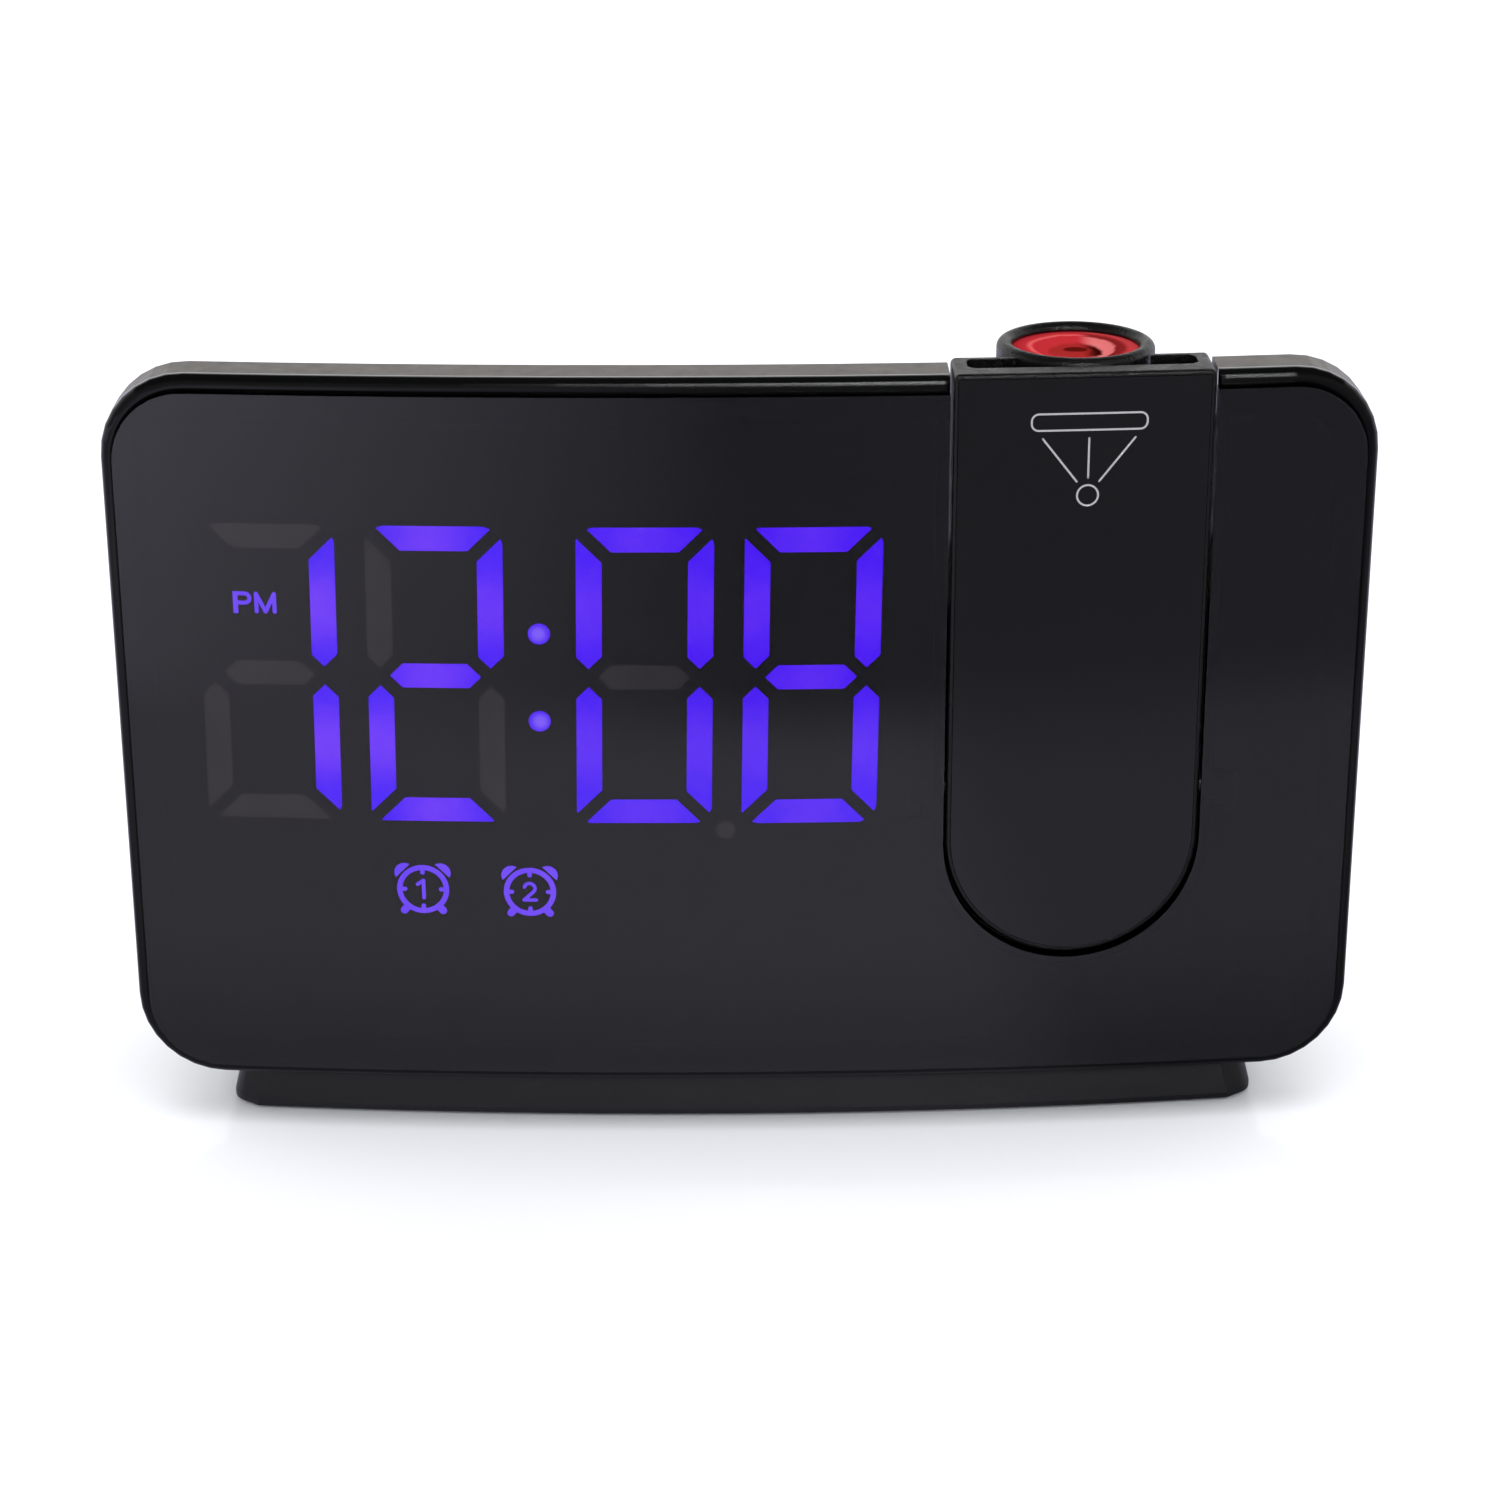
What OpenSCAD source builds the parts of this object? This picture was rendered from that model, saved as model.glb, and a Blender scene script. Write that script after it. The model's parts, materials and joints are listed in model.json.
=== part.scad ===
// Projection alarm clock with a curved front, a folding projector arm and a seven-segment display.
// Millimetres, +Z up. X runs along the front, the front faces -Y.
// The origin is on the table, in the middle of the clock's width and depth.
// Modules are written in face coordinates, with y = 0 at the middle of the lens, and moved by at_face().

/* [Body] */
// Width of the curved front
body_w = 182; // [170:1:210]
// Height of the front shell, without the stand
body_h = 109; // [106:1:120]
// Overall depth, from the lens to the back of the housing
clock_d = 46; // [46:1:60]
// Plan radius of the curved front
face_r = 810; // [500:10:1500]
// Corner radius of the front, seen from ahead
corner_r = 12.5; // [9:0.5:16]
// Depth of the thin shell behind the lens face
shell_d = 10; // [9.6:0.1:12]
// Wall of the moulded housings
wall = 1.8; // [1.4:0.1:2.2]
// Play between parts that are glued, screwed or snapped together
seat_gap = 0.1; // [0.05:0.05:0.2]

/* [Bezel and lens] */
// Width of the gloss rim beside the lens
rim_w = 1.9; // [1.6:0.1:3]
// Width of the gloss rim above the lens
rim_top = 2.4; // [1.6:0.1:3]
// Height of the lens face in front of the rim
lens_proud = 1; // [0.5:0.1:1.2]
// Depth of the gloss rim seen from the side, from the lens face
rim_d = 2.7; // [2.6:0.1:3.2]
// Radius of the rim's rounded front edge
rim_round = 1.4; // [0.8:0.1:1.5]
// Thickness of the lens
lens_t = 2.3; // [1.8:0.1:2.4]

/* [Display] */
// Height of a digit
digit_h = 45.7; // [38:0.1:48]
// Space from the left side of the front to the first digit
digits_left = 12.6; // [12.4:0.1:15]
// Width of a segment
seg_w = 4.2; // [3:0.1:5]
// Dark gap between two segments, square to their ends
seg_gap = 1.85; // [1:0.05:2.2]
// Space between the two digits of a pair
digit_space = 3.85; // [3:0.05:5]
// Extra pitch for the colon between the pairs
colon_space = 6.05; // [5:0.05:7]
// Space from the last digit to the middle of the arm
digits_in = 28.3; // [27.6:0.1:29]
// Height of the middle of the digits above the table
display_z = 72.4; // [70:0.1:74]
// Sideways lean of the digits, in degrees
digit_lean = 0.9; // [0:0.1:3]
// Thickness of the printed mask behind the lens
mask_t = 0.6; // [0.4:0.1:0.8]

/* [Stand] */
// Height of the stand, feet included
stand_h = 8; // [7:0.5:10]
// Width of the stand at the table
stand_w = 156.6; // [140:0.2:160]
// Set-back of the stand's front from the lens
stand_back = 4.8; // [4:0.1:8]
// Outward flare of the stand's sides over its height
stand_flare = 1.6; // [0.5:0.1:2]
// Height of the rubber feet below the stand
foot_h = 0.5; // [0.4:0.1:1]
// Radius of a rubber foot
foot_r = 5; // [3:0.5:6]

/* [Projector arm] */
// Distance of the arm's middle from the right side of the front
arm_in = 42.7; // [42:0.1:43.2]
// Width of the arm
arm_w = 37; // [35:0.5:37.5]
// Depth of the arm
arm_d = 10.1; // [9.6:0.1:10.4]
// Height of the arm's rounded lower end above the table
arm_low = 28.9; // [28.5:0.1:31]
// Height of the arm's top above the front shell
arm_rise = 0.5; // [0:0.1:1]
// Gap between the arm and the sides of its notch
notch_gap = 0.45; // [0.4:0.05:0.6]
// Extra gap below the rounded end, for its swing
notch_drop = 0.6; // [0.5:0.1:1]
// Height of the arm's hinge pin above the table
hinge_z = 53.2; // [52:0.2:56]
// Set-back of the arm's hinge pin from the lens face
hinge_v = 6.4; // [5.6:0.1:7]
// Radius of the hinge pins of the arm
hinge_pin_r = 1.5; // [1.2:0.1:1.8]
// Radial play of a pin in its bore
pin_play = 0.05; // [0.02:0.01:0.08]

/* [Projector barrel] */
// Radius of the barrel
barrel_r = 11.4; // [10.5:0.1:11.6]
// Wall of the barrel at its rim
barrel_wall = 2.3; // [2:0.1:2.8]
// Set-back of the barrel's axis from the lens face
barrel_v = 15.5; // [15:0.1:16]
// Height of the barrel's pivot above the table
barrel_z = 97; // [96:0.5:99]
// Height of the barrel's rim above the arm
barrel_rise = 0.7; // [0.2:0.1:1]
// Radius of the barrel's pivot pins
pivot_pin_r = 1.5; // [1.2:0.1:1.6]

/* [Controls] */
// Length of the snooze bar
snooze_l = 40; // [30:1:42]
// Width of the snooze bar
snooze_w = 11; // [8:0.5:12]
// Diameter of a key
key_d = 6.5; // [5:0.1:7]
// Pitch of the keys
key_pitch = 9; // [8.5:0.1:9.2]
// Height of the snooze bar and keys above the deck
key_rise = 1.6; // [1.2:0.1:2.5]
// Play around the snooze bar and keys
key_gap = 0.3; // [0.2:0.05:0.5]

/* [Power] */
// Radius of the mouth of the power inlet
jack_r = 3.2; // [2.9:0.1:3.5]
// Diameter of the backup cell
cell_d = 20; // [20:0.5:24.5]
// Thickness of the backup cell
cell_t = 3.2; // [1.6:0.1:3.2]

/* [Hidden] */
$fn = 96;
eps = 0.01;
fine = 720;                       // facets of the large face cylinders
z0 = stand_h;                     // underside of the front shell
z1 = stand_h + body_h;            // top of the front shell
back_y = clock_d;                 // rear face, in face coordinates

// rear housing blocks behind the thin shell
deck_drop = 14;                   // top of the shell down to the key deck
deck_z = z1 - deck_drop;
box_margin = 1;                   // light box beyond the digits
box_play = 0.4;                   // light box to the wall of the rear cover
block_in = digits_left - box_margin - box_play - wall; // rear cover's sides from those of the front
block_l = -body_w / 2 + block_in; // left side of the main block
block_r = body_w / 2 - block_in;  // right side of the lower block
arm_x = body_w / 2 - arm_in;
bay_in = 22.3;                    // half width of the projector bay
block_m = arm_x - bay_in;         // right side of the main block, where the projector bay starts
bay_z = barrel_z - barrel_r - 5.6; // floor of the projector bay
block_round = 4;                  // rounding of the blocks' rear edges
cover_gap = 0.06;                 // joint between the rear cover and the curved shell

// display
digits_right = arm_x - digits_in;
digits_z = display_z - digit_h / 2;
digit_x1 = -body_w / 2 + digits_left;
digit_pitch = (digits_right - digit_x1 - colon_space + digit_space) / 4;
digit_w = digit_pitch - digit_space;
digit_x2 = digit_x1 + digit_pitch;
digit_x3 = digit_x2 + digit_pitch + colon_space;
digit_x4 = digit_x3 + digit_pitch;
digits = [digit_x1, digit_x2, digit_x3, digit_x4];
seg_z = display_z;
mask_v = lens_t + seat_gap;
bezel_ledge = 4.2;                // ledge of the bezel behind the lens
lamp_v = mask_v + mask_t + seat_gap;
colon_x = digit_x3 - digit_pitch / 2 + digit_w / 2 - colon_space / 2;
colon_dz = 6.7;                   // colon dots above and below the middle
dot_r = 1.6;
lit = ["bc", "abged", "abcdef", "abcdefg"];
unlit = ["aged", "fc", "g", ""];
box_l = digit_x1 - box_margin;
box_r = digits_right + box_margin;
box_z0 = digits_z - 19.6;         // the small symbols are below the digits
box_z1 = digits_z + digit_h + 2.5;
box_back = 14;                    // rear of the light box
board_t = 1.6;

// projector arm, in the arm's own frame: u along the front, v into the clock
arm_y = face_y(arm_x);
arm_r = arm_w / 2;
arm_top = z1 + arm_rise;
arm_c = arm_low + arm_r;          // centre of the rounded end
notch_r = arm_r + notch_gap;
notch_c = arm_c - notch_drop;
well_t = 1.6;
well_gap = 1.9;                   // space behind the arm
swing_r = sqrt(pow(hinge_z - arm_low, 2) + hinge_v * hinge_v) + 0.6;
swing_top = hinge_z + arm_d + arm_face(arm_r) - hinge_v + 0.8;
boss_len = 3.4;
boss_end = notch_r + well_t + boss_len;
boss_r = hinge_pin_r + 1.3;
boss_gap = 0.3;                   // room for the bosses in the display mask
cover_t = 1.6;                    // front plate of the arm
cover_in = 0.6;                   // frame edge left around the plate
cover_top = 0.7;
edge_front = cover_in - 0.1;      // rounding of the arm's front edges, outside the plate's seat
edge_back = 0.9;                  // rounding of its rear edges
arm_corner = 0.8;                 // rounding of its two upper corners, seen from ahead
arm_front = 3.4;                  // front wall of the arm, plate included
arm_back = 1.7;
arm_side = 2.1;
pocket_z = 83.5;                  // floor of the open pocket around the barrel
pocket_round = 1.5;               // corners of the pocket in plan

// projector barrel
barrel_top = arm_top + barrel_rise;
barrel_gap = 0.5;
ear_t = 2.6;
ear_u = barrel_r + 0.6;
ear_r = 4.2;
bore_r = barrel_r - barrel_wall;
window_drop = 1.4;                // red window below the rim
window_t = 2.4;
window_land = 6.1;                // radius at which the window's flat rim ends
dish_d = 0.9;                     // depth of the dished ring in the window
eye_r = 4;                        // radius of the small lens in the middle of the dish
eye_h = 0.6;
wheel_z = 108;
wheel_h = 3.4;
wheel_r = barrel_r - 1.2;          // outside of the focus wheel
wheel_in = 6.4;                   // bore of its tube, which holds the lens
knurls = 40;                      // grooves round the focus wheel
knurl_r = 0.35;
tube_r = 7.6;
tube_h = 3;                       // tube below the focus wheel
focus_lens_t = 3;
focus_lens_in = 1.6;              // its flat side below the wheel
focus_lens_ball = 16;             // radius of its domed side
slide_w = 10.4;
slide_t = 1.2;
slide_rise = 3.6;                 // time slide above the barrel's pivot
slot_deg = 56;                    // half angle of the slot for the wheel

// controls
key_y = clock_d - 17;
key_travel = 0.8;
snooze_x = (block_l + block_m) / 2;
deck_full = 107.6;                // width of the deck that snooze_l and key_pitch are given for
row_k = (block_m - block_l) / deck_full;
bar_l = snooze_l * row_k;         // the row of controls follows the width of the deck
row_pitch = key_pitch * row_k;
key_first = bar_l / 2 + key_d / 2 + 3.5;
key_x = [for (side = [-1, 1]) for (i = [0:2])
    snooze_x + (side < 0 ? -key_first - (2 - i) * row_pitch : key_first + i * row_pitch)];
flange = 1.1;
stem_r = 1.5;                     // stems of the snooze bar
stem_u = 12;                      // its stems and switches to each side of its middle
switch_w = 5;
switch_h = 3.4;                   // switch with its plunger
switch_body_h = 1.8;
plunger_r = 1.4;
key_board_drop = 7.6;             // underside of the deck down to the key board
key_board_z = deck_z - wall - key_board_drop;
key_board_in = 4;                 // ends of the key board from the sides of the deck
key_board_w = 18;                 // key board from front to back
key_board_front = 7;              // its front edge ahead of the keys' middle
key_post_in = 7;                  // its posts from the sides of the deck
key_post_back = 8;                // its posts behind the keys' middle

// speaker and boards
speaker_r = 25;
speaker_x = block_l + wall + speaker_r + 9;
speaker_z = z0 + 44;
basket_y = back_y - wall - 1;     // rear face of the basket, against the grille
basket_rim = 1.2;                 // thickness of the basket's rim
basket_step = 2;                  // rim left outside the basket's cone
basket_h = 7;                     // depth of the basket's cone
basket_end = 14;                  // radius of the basket's narrow end
basket_wall = 0.6;
basket_end_wall = 1.6;            // ring left at the narrow end
cone_r = speaker_r - 3.8;         // outer edge of the paper cone
cone_h = 6.2;
cone_t = 0.8;
cone_lip = 0.4;                   // edge of the cone above the grille
cap_r = 4;                        // dust cap
cap_low = 1.2;                    // middle of the dust cap below the cone's end
magnet_r = 11;
magnet_h = 6;
grille_hole_r = 1.1;
grille_pitch = 5;
main_board_y = clock_d - 22;
main_board_l = block_l + 6;
main_board_r = block_m - 5;
main_board_z0 = z0 + 5;
main_board_z1 = deck_z - 12;
main_post_in = 5;                 // posts from the main board's edges
post_r = 2.4;
post_root = 1;                    // posts into the wall that carries them
chip_t = 1.6;
capacitor_r = 3;
capacitor_h = 9;
capacitor_pitch = 9;
capacitor_drop = 19;              // capacitors below the main board's upper edge

// fasteners
screw_beside = 2.4;               // housing screws beside the rear cover
screw_x = body_w / 2 - block_in + screw_beside;
screw_z = [z0 + 11, z1 - 11];
screw_r = 1.2;
screw_head_r = 2.5;
screw_head_t = 1.4;
screw_slot_w = 0.6;
screw_slot_l = 3.2;
screw_face = face_y(screw_x);     // lens face beside the screws
screw_seat_v = 6.5;               // where the shell's screw seats begin
screw_seat_r = 4;

// stand
stand_r = 4;
stand_top_w = stand_w - 2 * stand_flare;
stand_wall = 1.8;
door_w = 27;
door_l = 30;
door_t = 1.8;
door_tongue = 1.2;                // tongues that run in the stand's grooves
door_x = -34;
cell_floor = foot_h + door_t + 0.6;
cell_y = clock_d - door_l / 2 - 1;
cell_z = foot_h + door_t + 0.25;
clip_w = 6;
clip_l = 16;
clip_t = 0.3;
clip_gap = 0.1;
stand_rib_t = 1.2;
stand_boss_r = 4;
foot_front = 18;                  // front feet from the lens face
foot_back = 8;                    // rear feet from the rear face
foot_in = 10.3;                   // feet from the ends of the stand

jack_x = block_r - 15.6;
jack_z = z0 + 12;
jack_mouth = 2.5;
jack_bore = 11;                   // depth of the bore round the pin
jack_len = 12;                    // body of the inlet inside the wall
jack_w = 9;
jack_pin_r = 1.05;
jack_pin_in = 0.6;                // end of the pin inside the mouth
power_board_z = z0 + 5.5;
power_board_w = 42;
power_board_d = clock_d - 26.5;
power_board_in = 7.6;             // its end from the side of the block
power_board_l = block_r - power_board_in - power_board_w;
power_board_t = 1.4;
power_board_gap = 2.5;            // its rear edge from the rear face
power_post_in = 4;                // its posts from its ends
power_post_back = 14;             // its posts from the rear face

// ---------- shared shapes ----------

function face_y(x) = face_r - sqrt(face_r * face_r - x * x);

// from face coordinates to the clock's frame
module at_face() { translate([0, -clock_d / 2, 0]) children(); }

// from the arm's frame (u, v, z) to the clock's frame
module at_arm() { at_face() translate([arm_x, arm_y, 0]) children(); }

// depth of the curved layer v at u, in the arm's frame
function arm_face(u, v = 0) = face_r - arm_y - sqrt(pow(face_r - v, 2) - pow(arm_x + u, 2));

// everything further than v behind the curved lens face
module behind_face(v) {
    translate([0, face_r, -eps]) cylinder(r = face_r - v, h = 2 * z1, $fn = fine);
}

// a curved layer from depth v_a to depth v_b, as wide as the children drawn in the XZ plane
module face_layer(v_a, v_b) {
    difference() {
        intersection() {
            behind_face(v_a);
            rotate([90, 0, 0]) translate([0, 0, -clock_d]) linear_extrude(height = clock_d + 5) children();
        }
        behind_face(v_b);
    }
}

module rounded_rect(x_a, z_a, x_b, z_b, r) {
    translate([x_a + r, z_a]) square([x_b - x_a - 2 * r, z_b - z_a]);
    translate([x_a, z_a + r]) square([x_b - x_a, z_b - z_a - 2 * r]);
    for (x = [x_a + r, x_b - r]) for (z = [z_a + r, z_b - r]) translate([x, z]) circle(r = r);
}

// outline of the front, taken in by inset, with the top edge taken in by inset_top
module front_outline(inset, inset_top) {
    rounded_rect(-body_w / 2 + inset, z0 + inset, body_w / 2 - inset, z1 - inset_top, corner_r - inset);
}

// columns of an outline taken in by inset: [x, upper z, lower z]
arc_steps = 8;
flat_steps = 12;
function columns(inset) = let (
        r = max(corner_r - inset, 0.5),
        half = body_w / 2 - inset - r,
        top = z1 - inset - r,
        low = z0 + inset + r)
    concat(
        [for (i = [0:arc_steps]) let (a = 90 * i / arc_steps)
            [-half - r * cos(a), top + r * sin(a), low - r * sin(a)]],
        [for (i = [1:flat_steps - 1]) [-half + 2 * half * i / flat_steps, top + r, low - r]],
        [for (i = [arc_steps:-1:0]) let (a = 90 * i / arc_steps)
            [half + r * cos(a), top + r * sin(a), low - r * sin(a)]]);

// closed solid of the front's outline, each section given as [depth v, inset]
module curved_loft(sections) {
    column_loft([for (s = sections) columns(s[1])], [for (s = sections) s[0]]);
}

// closed solid through curved outlines, each given by its columns and its depth behind the lens face
module column_loft(rows, depths) {
    n = len(rows[0]);
    m = len(rows);
    upper = [for (s = [0:m - 1]) [for (c = rows[s]) [c[0], face_y(c[0]) + depths[s], c[1]]]];
    lower = [for (s = [0:m - 1]) [for (c = rows[s]) [c[0], face_y(c[0]) + depths[s], c[2]]]];
    points = [for (s = [0:m - 1]) each concat(upper[s], lower[s])];
    function t(s, k) = s * 2 * n + k;
    function b(s, k) = s * 2 * n + n + k;
    skin = [for (s = [0:m - 2]) each concat(
        [for (k = [0:n - 2]) each [
            [t(s, k), t(s + 1, k), t(s + 1, k + 1)], [t(s, k), t(s + 1, k + 1), t(s, k + 1)],
            [b(s, k), b(s + 1, k + 1), b(s + 1, k)], [b(s, k), b(s, k + 1), b(s + 1, k + 1)]]],
        [[t(s, 0), b(s, 0), b(s + 1, 0)], [t(s, 0), b(s + 1, 0), t(s + 1, 0)],
         [t(s, n - 1), b(s + 1, n - 1), b(s, n - 1)], [t(s, n - 1), t(s + 1, n - 1), b(s + 1, n - 1)]])];
    front = [for (k = [0:n - 2]) [t(0, k), t(0, k + 1), b(0, k + 1), b(0, k)]];
    back = [for (k = [0:n - 2]) [t(m - 1, k), b(m - 1, k), b(m - 1, k + 1), t(m - 1, k + 1)]];
    polyhedron(points = points, faces = concat(skin, front, back));
}

// U shape of the arm and its notch, in the arm's (u, z) plane
module u_shape(r, centre, top) {
    translate([0, centre]) circle(r = r);
    translate([-r, centre]) square([2 * r, top - centre]);
}

// a curved layer from depth v_a to depth v_b, in the arm's frame, of a shape drawn in (u, z)
module arm_layer(v_a, v_b) {
    translate([-arm_x, -arm_y, 0]) face_layer(v_a, v_b) translate([arm_x, 0]) children();
}

module notch_cut(v_a, v_b, extra) {
    arm_layer(v_a, v_b) u_shape(notch_r + extra, notch_c, z1 + 20);
}

// rounds both upright corners of the notch at depth v, from height z up; facing is -1 in front and 1 behind
module notch_corners(v, r, facing, z) {
    play = 0.3;
    for (side = [-1, 1]) {
        u = side * (notch_r + r);
        translate([u, arm_face(u) + v - facing * r, z]) linear_extrude(height = z1) difference() {
            translate([side < 0 ? 0 : -r - play, facing < 0 ? -r - play : 0]) square(r + play);
            circle(r = r);
        }
    }
}

// rod along u, centred on u
module rod_u(u_a, u_b, r, v, z) {
    translate([u_a, v, z]) rotate([0, 90, 0]) cylinder(r = r, h = u_b - u_a);
}

// rod along y
module rod_y(x, y_a, y_b, r, z) {
    translate([x, y_b, z]) rotate([90, 0, 0]) cylinder(r = r, h = y_b - y_a);
}

// ---------- front ----------

lip_steps = 4;
lip = [for (i = [0:lip_steps]) let (a = 90 * i / lip_steps)
    [lens_proud + rim_round * (1 - cos(a)), rim_round * (1 - sin(a))]];

module lens_outline(grow) {
    rounded_rect(-body_w / 2 + rim_w - grow, z0 + rim_w - grow,
        body_w / 2 - rim_w + grow, z1 - rim_top + grow, corner_r - rim_w + grow);
}

module front_bezel() {
    skirt_d = 4.2;
    notch_lip = 0.8;
    color([0.03, 0.03, 0.035]) difference() {
        union() {
            difference() {
                union() {
                    at_face() curved_loft(concat(lip, [[rim_d, 0]]));
                    at_face()
                    curved_loft([[rim_d - 0.4, wall + seat_gap], [rim_d + skirt_d, wall + seat_gap]]);
                }
                at_face() face_layer(-2, lens_t + seat_gap) lens_outline(seat_gap);
                at_face() face_layer(0, lens_t + 1.7)
                    front_outline(wall + bezel_ledge, rim_top + bezel_ledge);
                at_face() face_layer(lens_t + 1.6, clock_d) front_outline(wall + 1.6, wall + 1.6);
                at_arm() notch_cut(-5, rim_d, 0);
                at_arm() notch_cut(rim_d - eps, clock_d, well_t + seat_gap);
                at_arm() notch_corners(lens_proud, notch_lip, -1, z1 - rim_top - 1);
                // room in the skirt for the shell's screw seats
                at_face() for (side = [-1, 1]) for (z = screw_z)
                    rod_y(side * screw_x, screw_face + screw_seat_v - seat_gap, clock_d,
                        screw_seat_r + seat_gap, z);
            }
            at_face() for (side = [-1, 1]) for (z = screw_z)
                rod_y(side * screw_x, screw_face + lens_t + 1, screw_face + screw_seat_v - seat_gap, 3.1, z);
        }
        at_face() for (side = [-1, 1]) for (z = screw_z)
            rod_y(side * screw_x, screw_face + 3.6, screw_face + 8, screw_r, z);
    }
}

module display_lens() {
    color([0.08, 0.08, 0.09, 0.6]) difference() {
        at_face() face_layer(0, lens_t) lens_outline(0);
        at_arm() notch_cut(-5, clock_d, 0);
    }
}

// ---------- display ----------

// polygon of one segment; the digit's lower left corner is the origin
seg_k = seg_gap / sqrt(2);
function segment(s) = let (
        w = digit_w, h = digit_h, t = seg_w, k = seg_k, m = digit_h / 2,
        side = [[0, m + k + t / 2], [t / 2, m + k], [t, m + k + t / 2], [t, h - k - t], [0, h - k]])
    s == "a" ? [[k, h], [w - k, h], [w - k - t, h - t], [k + t, h - t]] :
    s == "d" ? [for (p = segment("a")) [p[0], h - p[1]]] :
    s == "g" ? [[k + t / 2, m], [k + t, m + t / 2], [w - k - t, m + t / 2], [w - k - t / 2, m],
                [w - k - t, m - t / 2], [k + t, m - t / 2]] :
    s == "f" ? side :
    s == "b" ? [for (p = side) [w - p[0], p[1]]] :
    s == "e" ? [for (p = side) [p[0], h - p[1]]] :
               [for (p = side) [w - p[0], h - p[1]]];

module lean() {
    multmatrix([[1, tan(digit_lean), 0, -tan(digit_lean) * seg_z], [0, 1, 0, 0], [0, 0, 1, 0], [0, 0, 0, 1]])
        children();
}

digit_corner = 3.6;
module digit(x, shown) {
    if (len(shown) > 0) translate([x, digits_z]) intersection() {
        rounded_rect(0, 0, digit_w, digit_h, digit_corner);
        for (s = shown) polygon(segment(s));
    }
}

module lit_shapes() {
    lean() {
        for (i = [0:3]) digit(digits[i], lit[i]);
        for (side = [-1, 1]) translate([colon_x, seg_z + side * colon_dz]) circle(r = dot_r, $fn = 48);
    }
}

module unlit_shapes() {
    lean() {
        for (i = [0:3]) digit(digits[i], unlit[i]);
        translate([digit_x4 - 1.9, digits_z - 0.9]) circle(r = 1.4, $fn = 48);
    }
}

seg_front = mask_v + 0.05;

mask_in = wall + bezel_ledge + 0.2;
module mask_outline() {
    rounded_rect(-body_w / 2 + mask_in, z0 + mask_in, body_w / 2 - mask_in, z1 - rim_top - bezel_ledge - 0.2,
        corner_r - mask_in);
}

module display_mask() {
    color([0.02, 0.02, 0.02]) at_face() difference() {
        face_layer(mask_v, mask_v + mask_t) mask_outline();
        face_layer(0, clock_d) lit_shapes();
        face_layer(0, clock_d) unlit_shapes();
        translate([arm_x, arm_y, 0]) notch_cut(-5, clock_d, well_t + 0.2);
        translate([arm_x - boss_end - boss_gap, -5, hinge_z - boss_r - boss_gap])
            cube([2 * (boss_end + boss_gap), clock_d, 2 * (boss_r + boss_gap)]);
    }
}

module lit_segments() {
    color([0.3, 0.15, 0.95]) at_face() face_layer(seg_front, lamp_v - 0.02) lit_shapes();
}

module unlit_segments() {
    color([0.2, 0.18, 0.17]) at_face() face_layer(seg_front, lamp_v - 0.02) unlit_shapes();
}

module light_box() {
    color([0.75, 0.75, 0.72]) at_face() difference() {
        intersection() {
            behind_face(lamp_v);
            translate([box_l, 0, box_z0]) cube([box_r - box_l, box_back, box_z1 - box_z0]);
        }
        for (x = digits) for (s = "abcdefg") well(x, s);
    }
}

// light well behind one segment, a little smaller than the segment
module well(x, s) {
    margin = 0.6;
    c = segment_centre(s);
    size = s == "a" || s == "d" || s == "g" ? [digit_w / 2, seg_w - margin] : [seg_w - margin, digit_h / 4];
    translate([x + c[0] - size[0] / 2, -1, digits_z + c[1] - size[1] / 2])
        cube([size[0], box_back + 2, size[1]]);
}

function segment_centre(s) =
    s == "a" ? [digit_w / 2, digit_h - seg_w / 2] :
    s == "g" ? [digit_w / 2, digit_h / 2] :
    s == "d" ? [digit_w / 2, seg_w / 2] :
    [s == "f" || s == "e" ? seg_w / 2 : digit_w - seg_w / 2, digit_h * (s == "f" || s == "b" ? 0.75 : 0.25)];

module display_board() {
    color([0.1, 0.3, 0.15]) at_face() translate([box_l, box_back, box_z0 - 6])
        cube([box_r - box_l, board_t, box_z1 - box_z0 + 6]);
}

module led_chips() {
    chip = [1.6, 1, 0.8];
    color([0.95, 0.95, 0.9]) at_face() for (x = digits) for (s = "abcdefg") {
        c = segment_centre(s);
        translate([x + c[0] - chip[0] / 2, box_back - chip[1], digits_z + c[1] - chip[2] / 2]) cube(chip);
    }
}

// ---------- housing ----------

// housing block with rounded edges, open at the front plane y_a
module block(x_a, x_b, z_b, y_a, inset) {
    r = block_round - inset;
    left = x_a + inset + r;
    right = x_b - inset - r;
    low = z0 + inset + r;
    high = z_b - inset - r;
    y = back_y - inset;
    for (x = [left, right]) for (z = [low, high]) {
        rod_y(x, y_a, y - r, r, z);
        translate([x, y - r, z]) sphere(r = r, $fn = 48);
    }
    for (z = [low, high]) rod_u(left, right, r, y - r, z);
    for (x = [left, right]) translate([x, y - r, low]) cylinder(r = r, h = high - low);
    translate([left, y_a, z0 + inset]) cube([right - left, y - r - y_a, z_b - z0 - 2 * inset]);
    translate([x_a + inset, y_a, low]) cube([x_b - x_a - 2 * inset, y - r - y_a, high - low]);
    translate([left, y_a, low]) cube([right - left, y - y_a, high - low]);
}

shell_roll = 1.3;                 // rounding of the shell's rear edges
module shell_outer() {
    curved_loft(concat([[rim_d, 0]], [for (a = [0, 30, 60, 90])
        [shell_d - shell_roll * (1 - sin(a)), shell_roll * (1 - cos(a))]]));
}

module shell_inner() {
    curved_loft([[rim_d - 2, wall], [shell_d - wall, wall]]);
}

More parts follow.
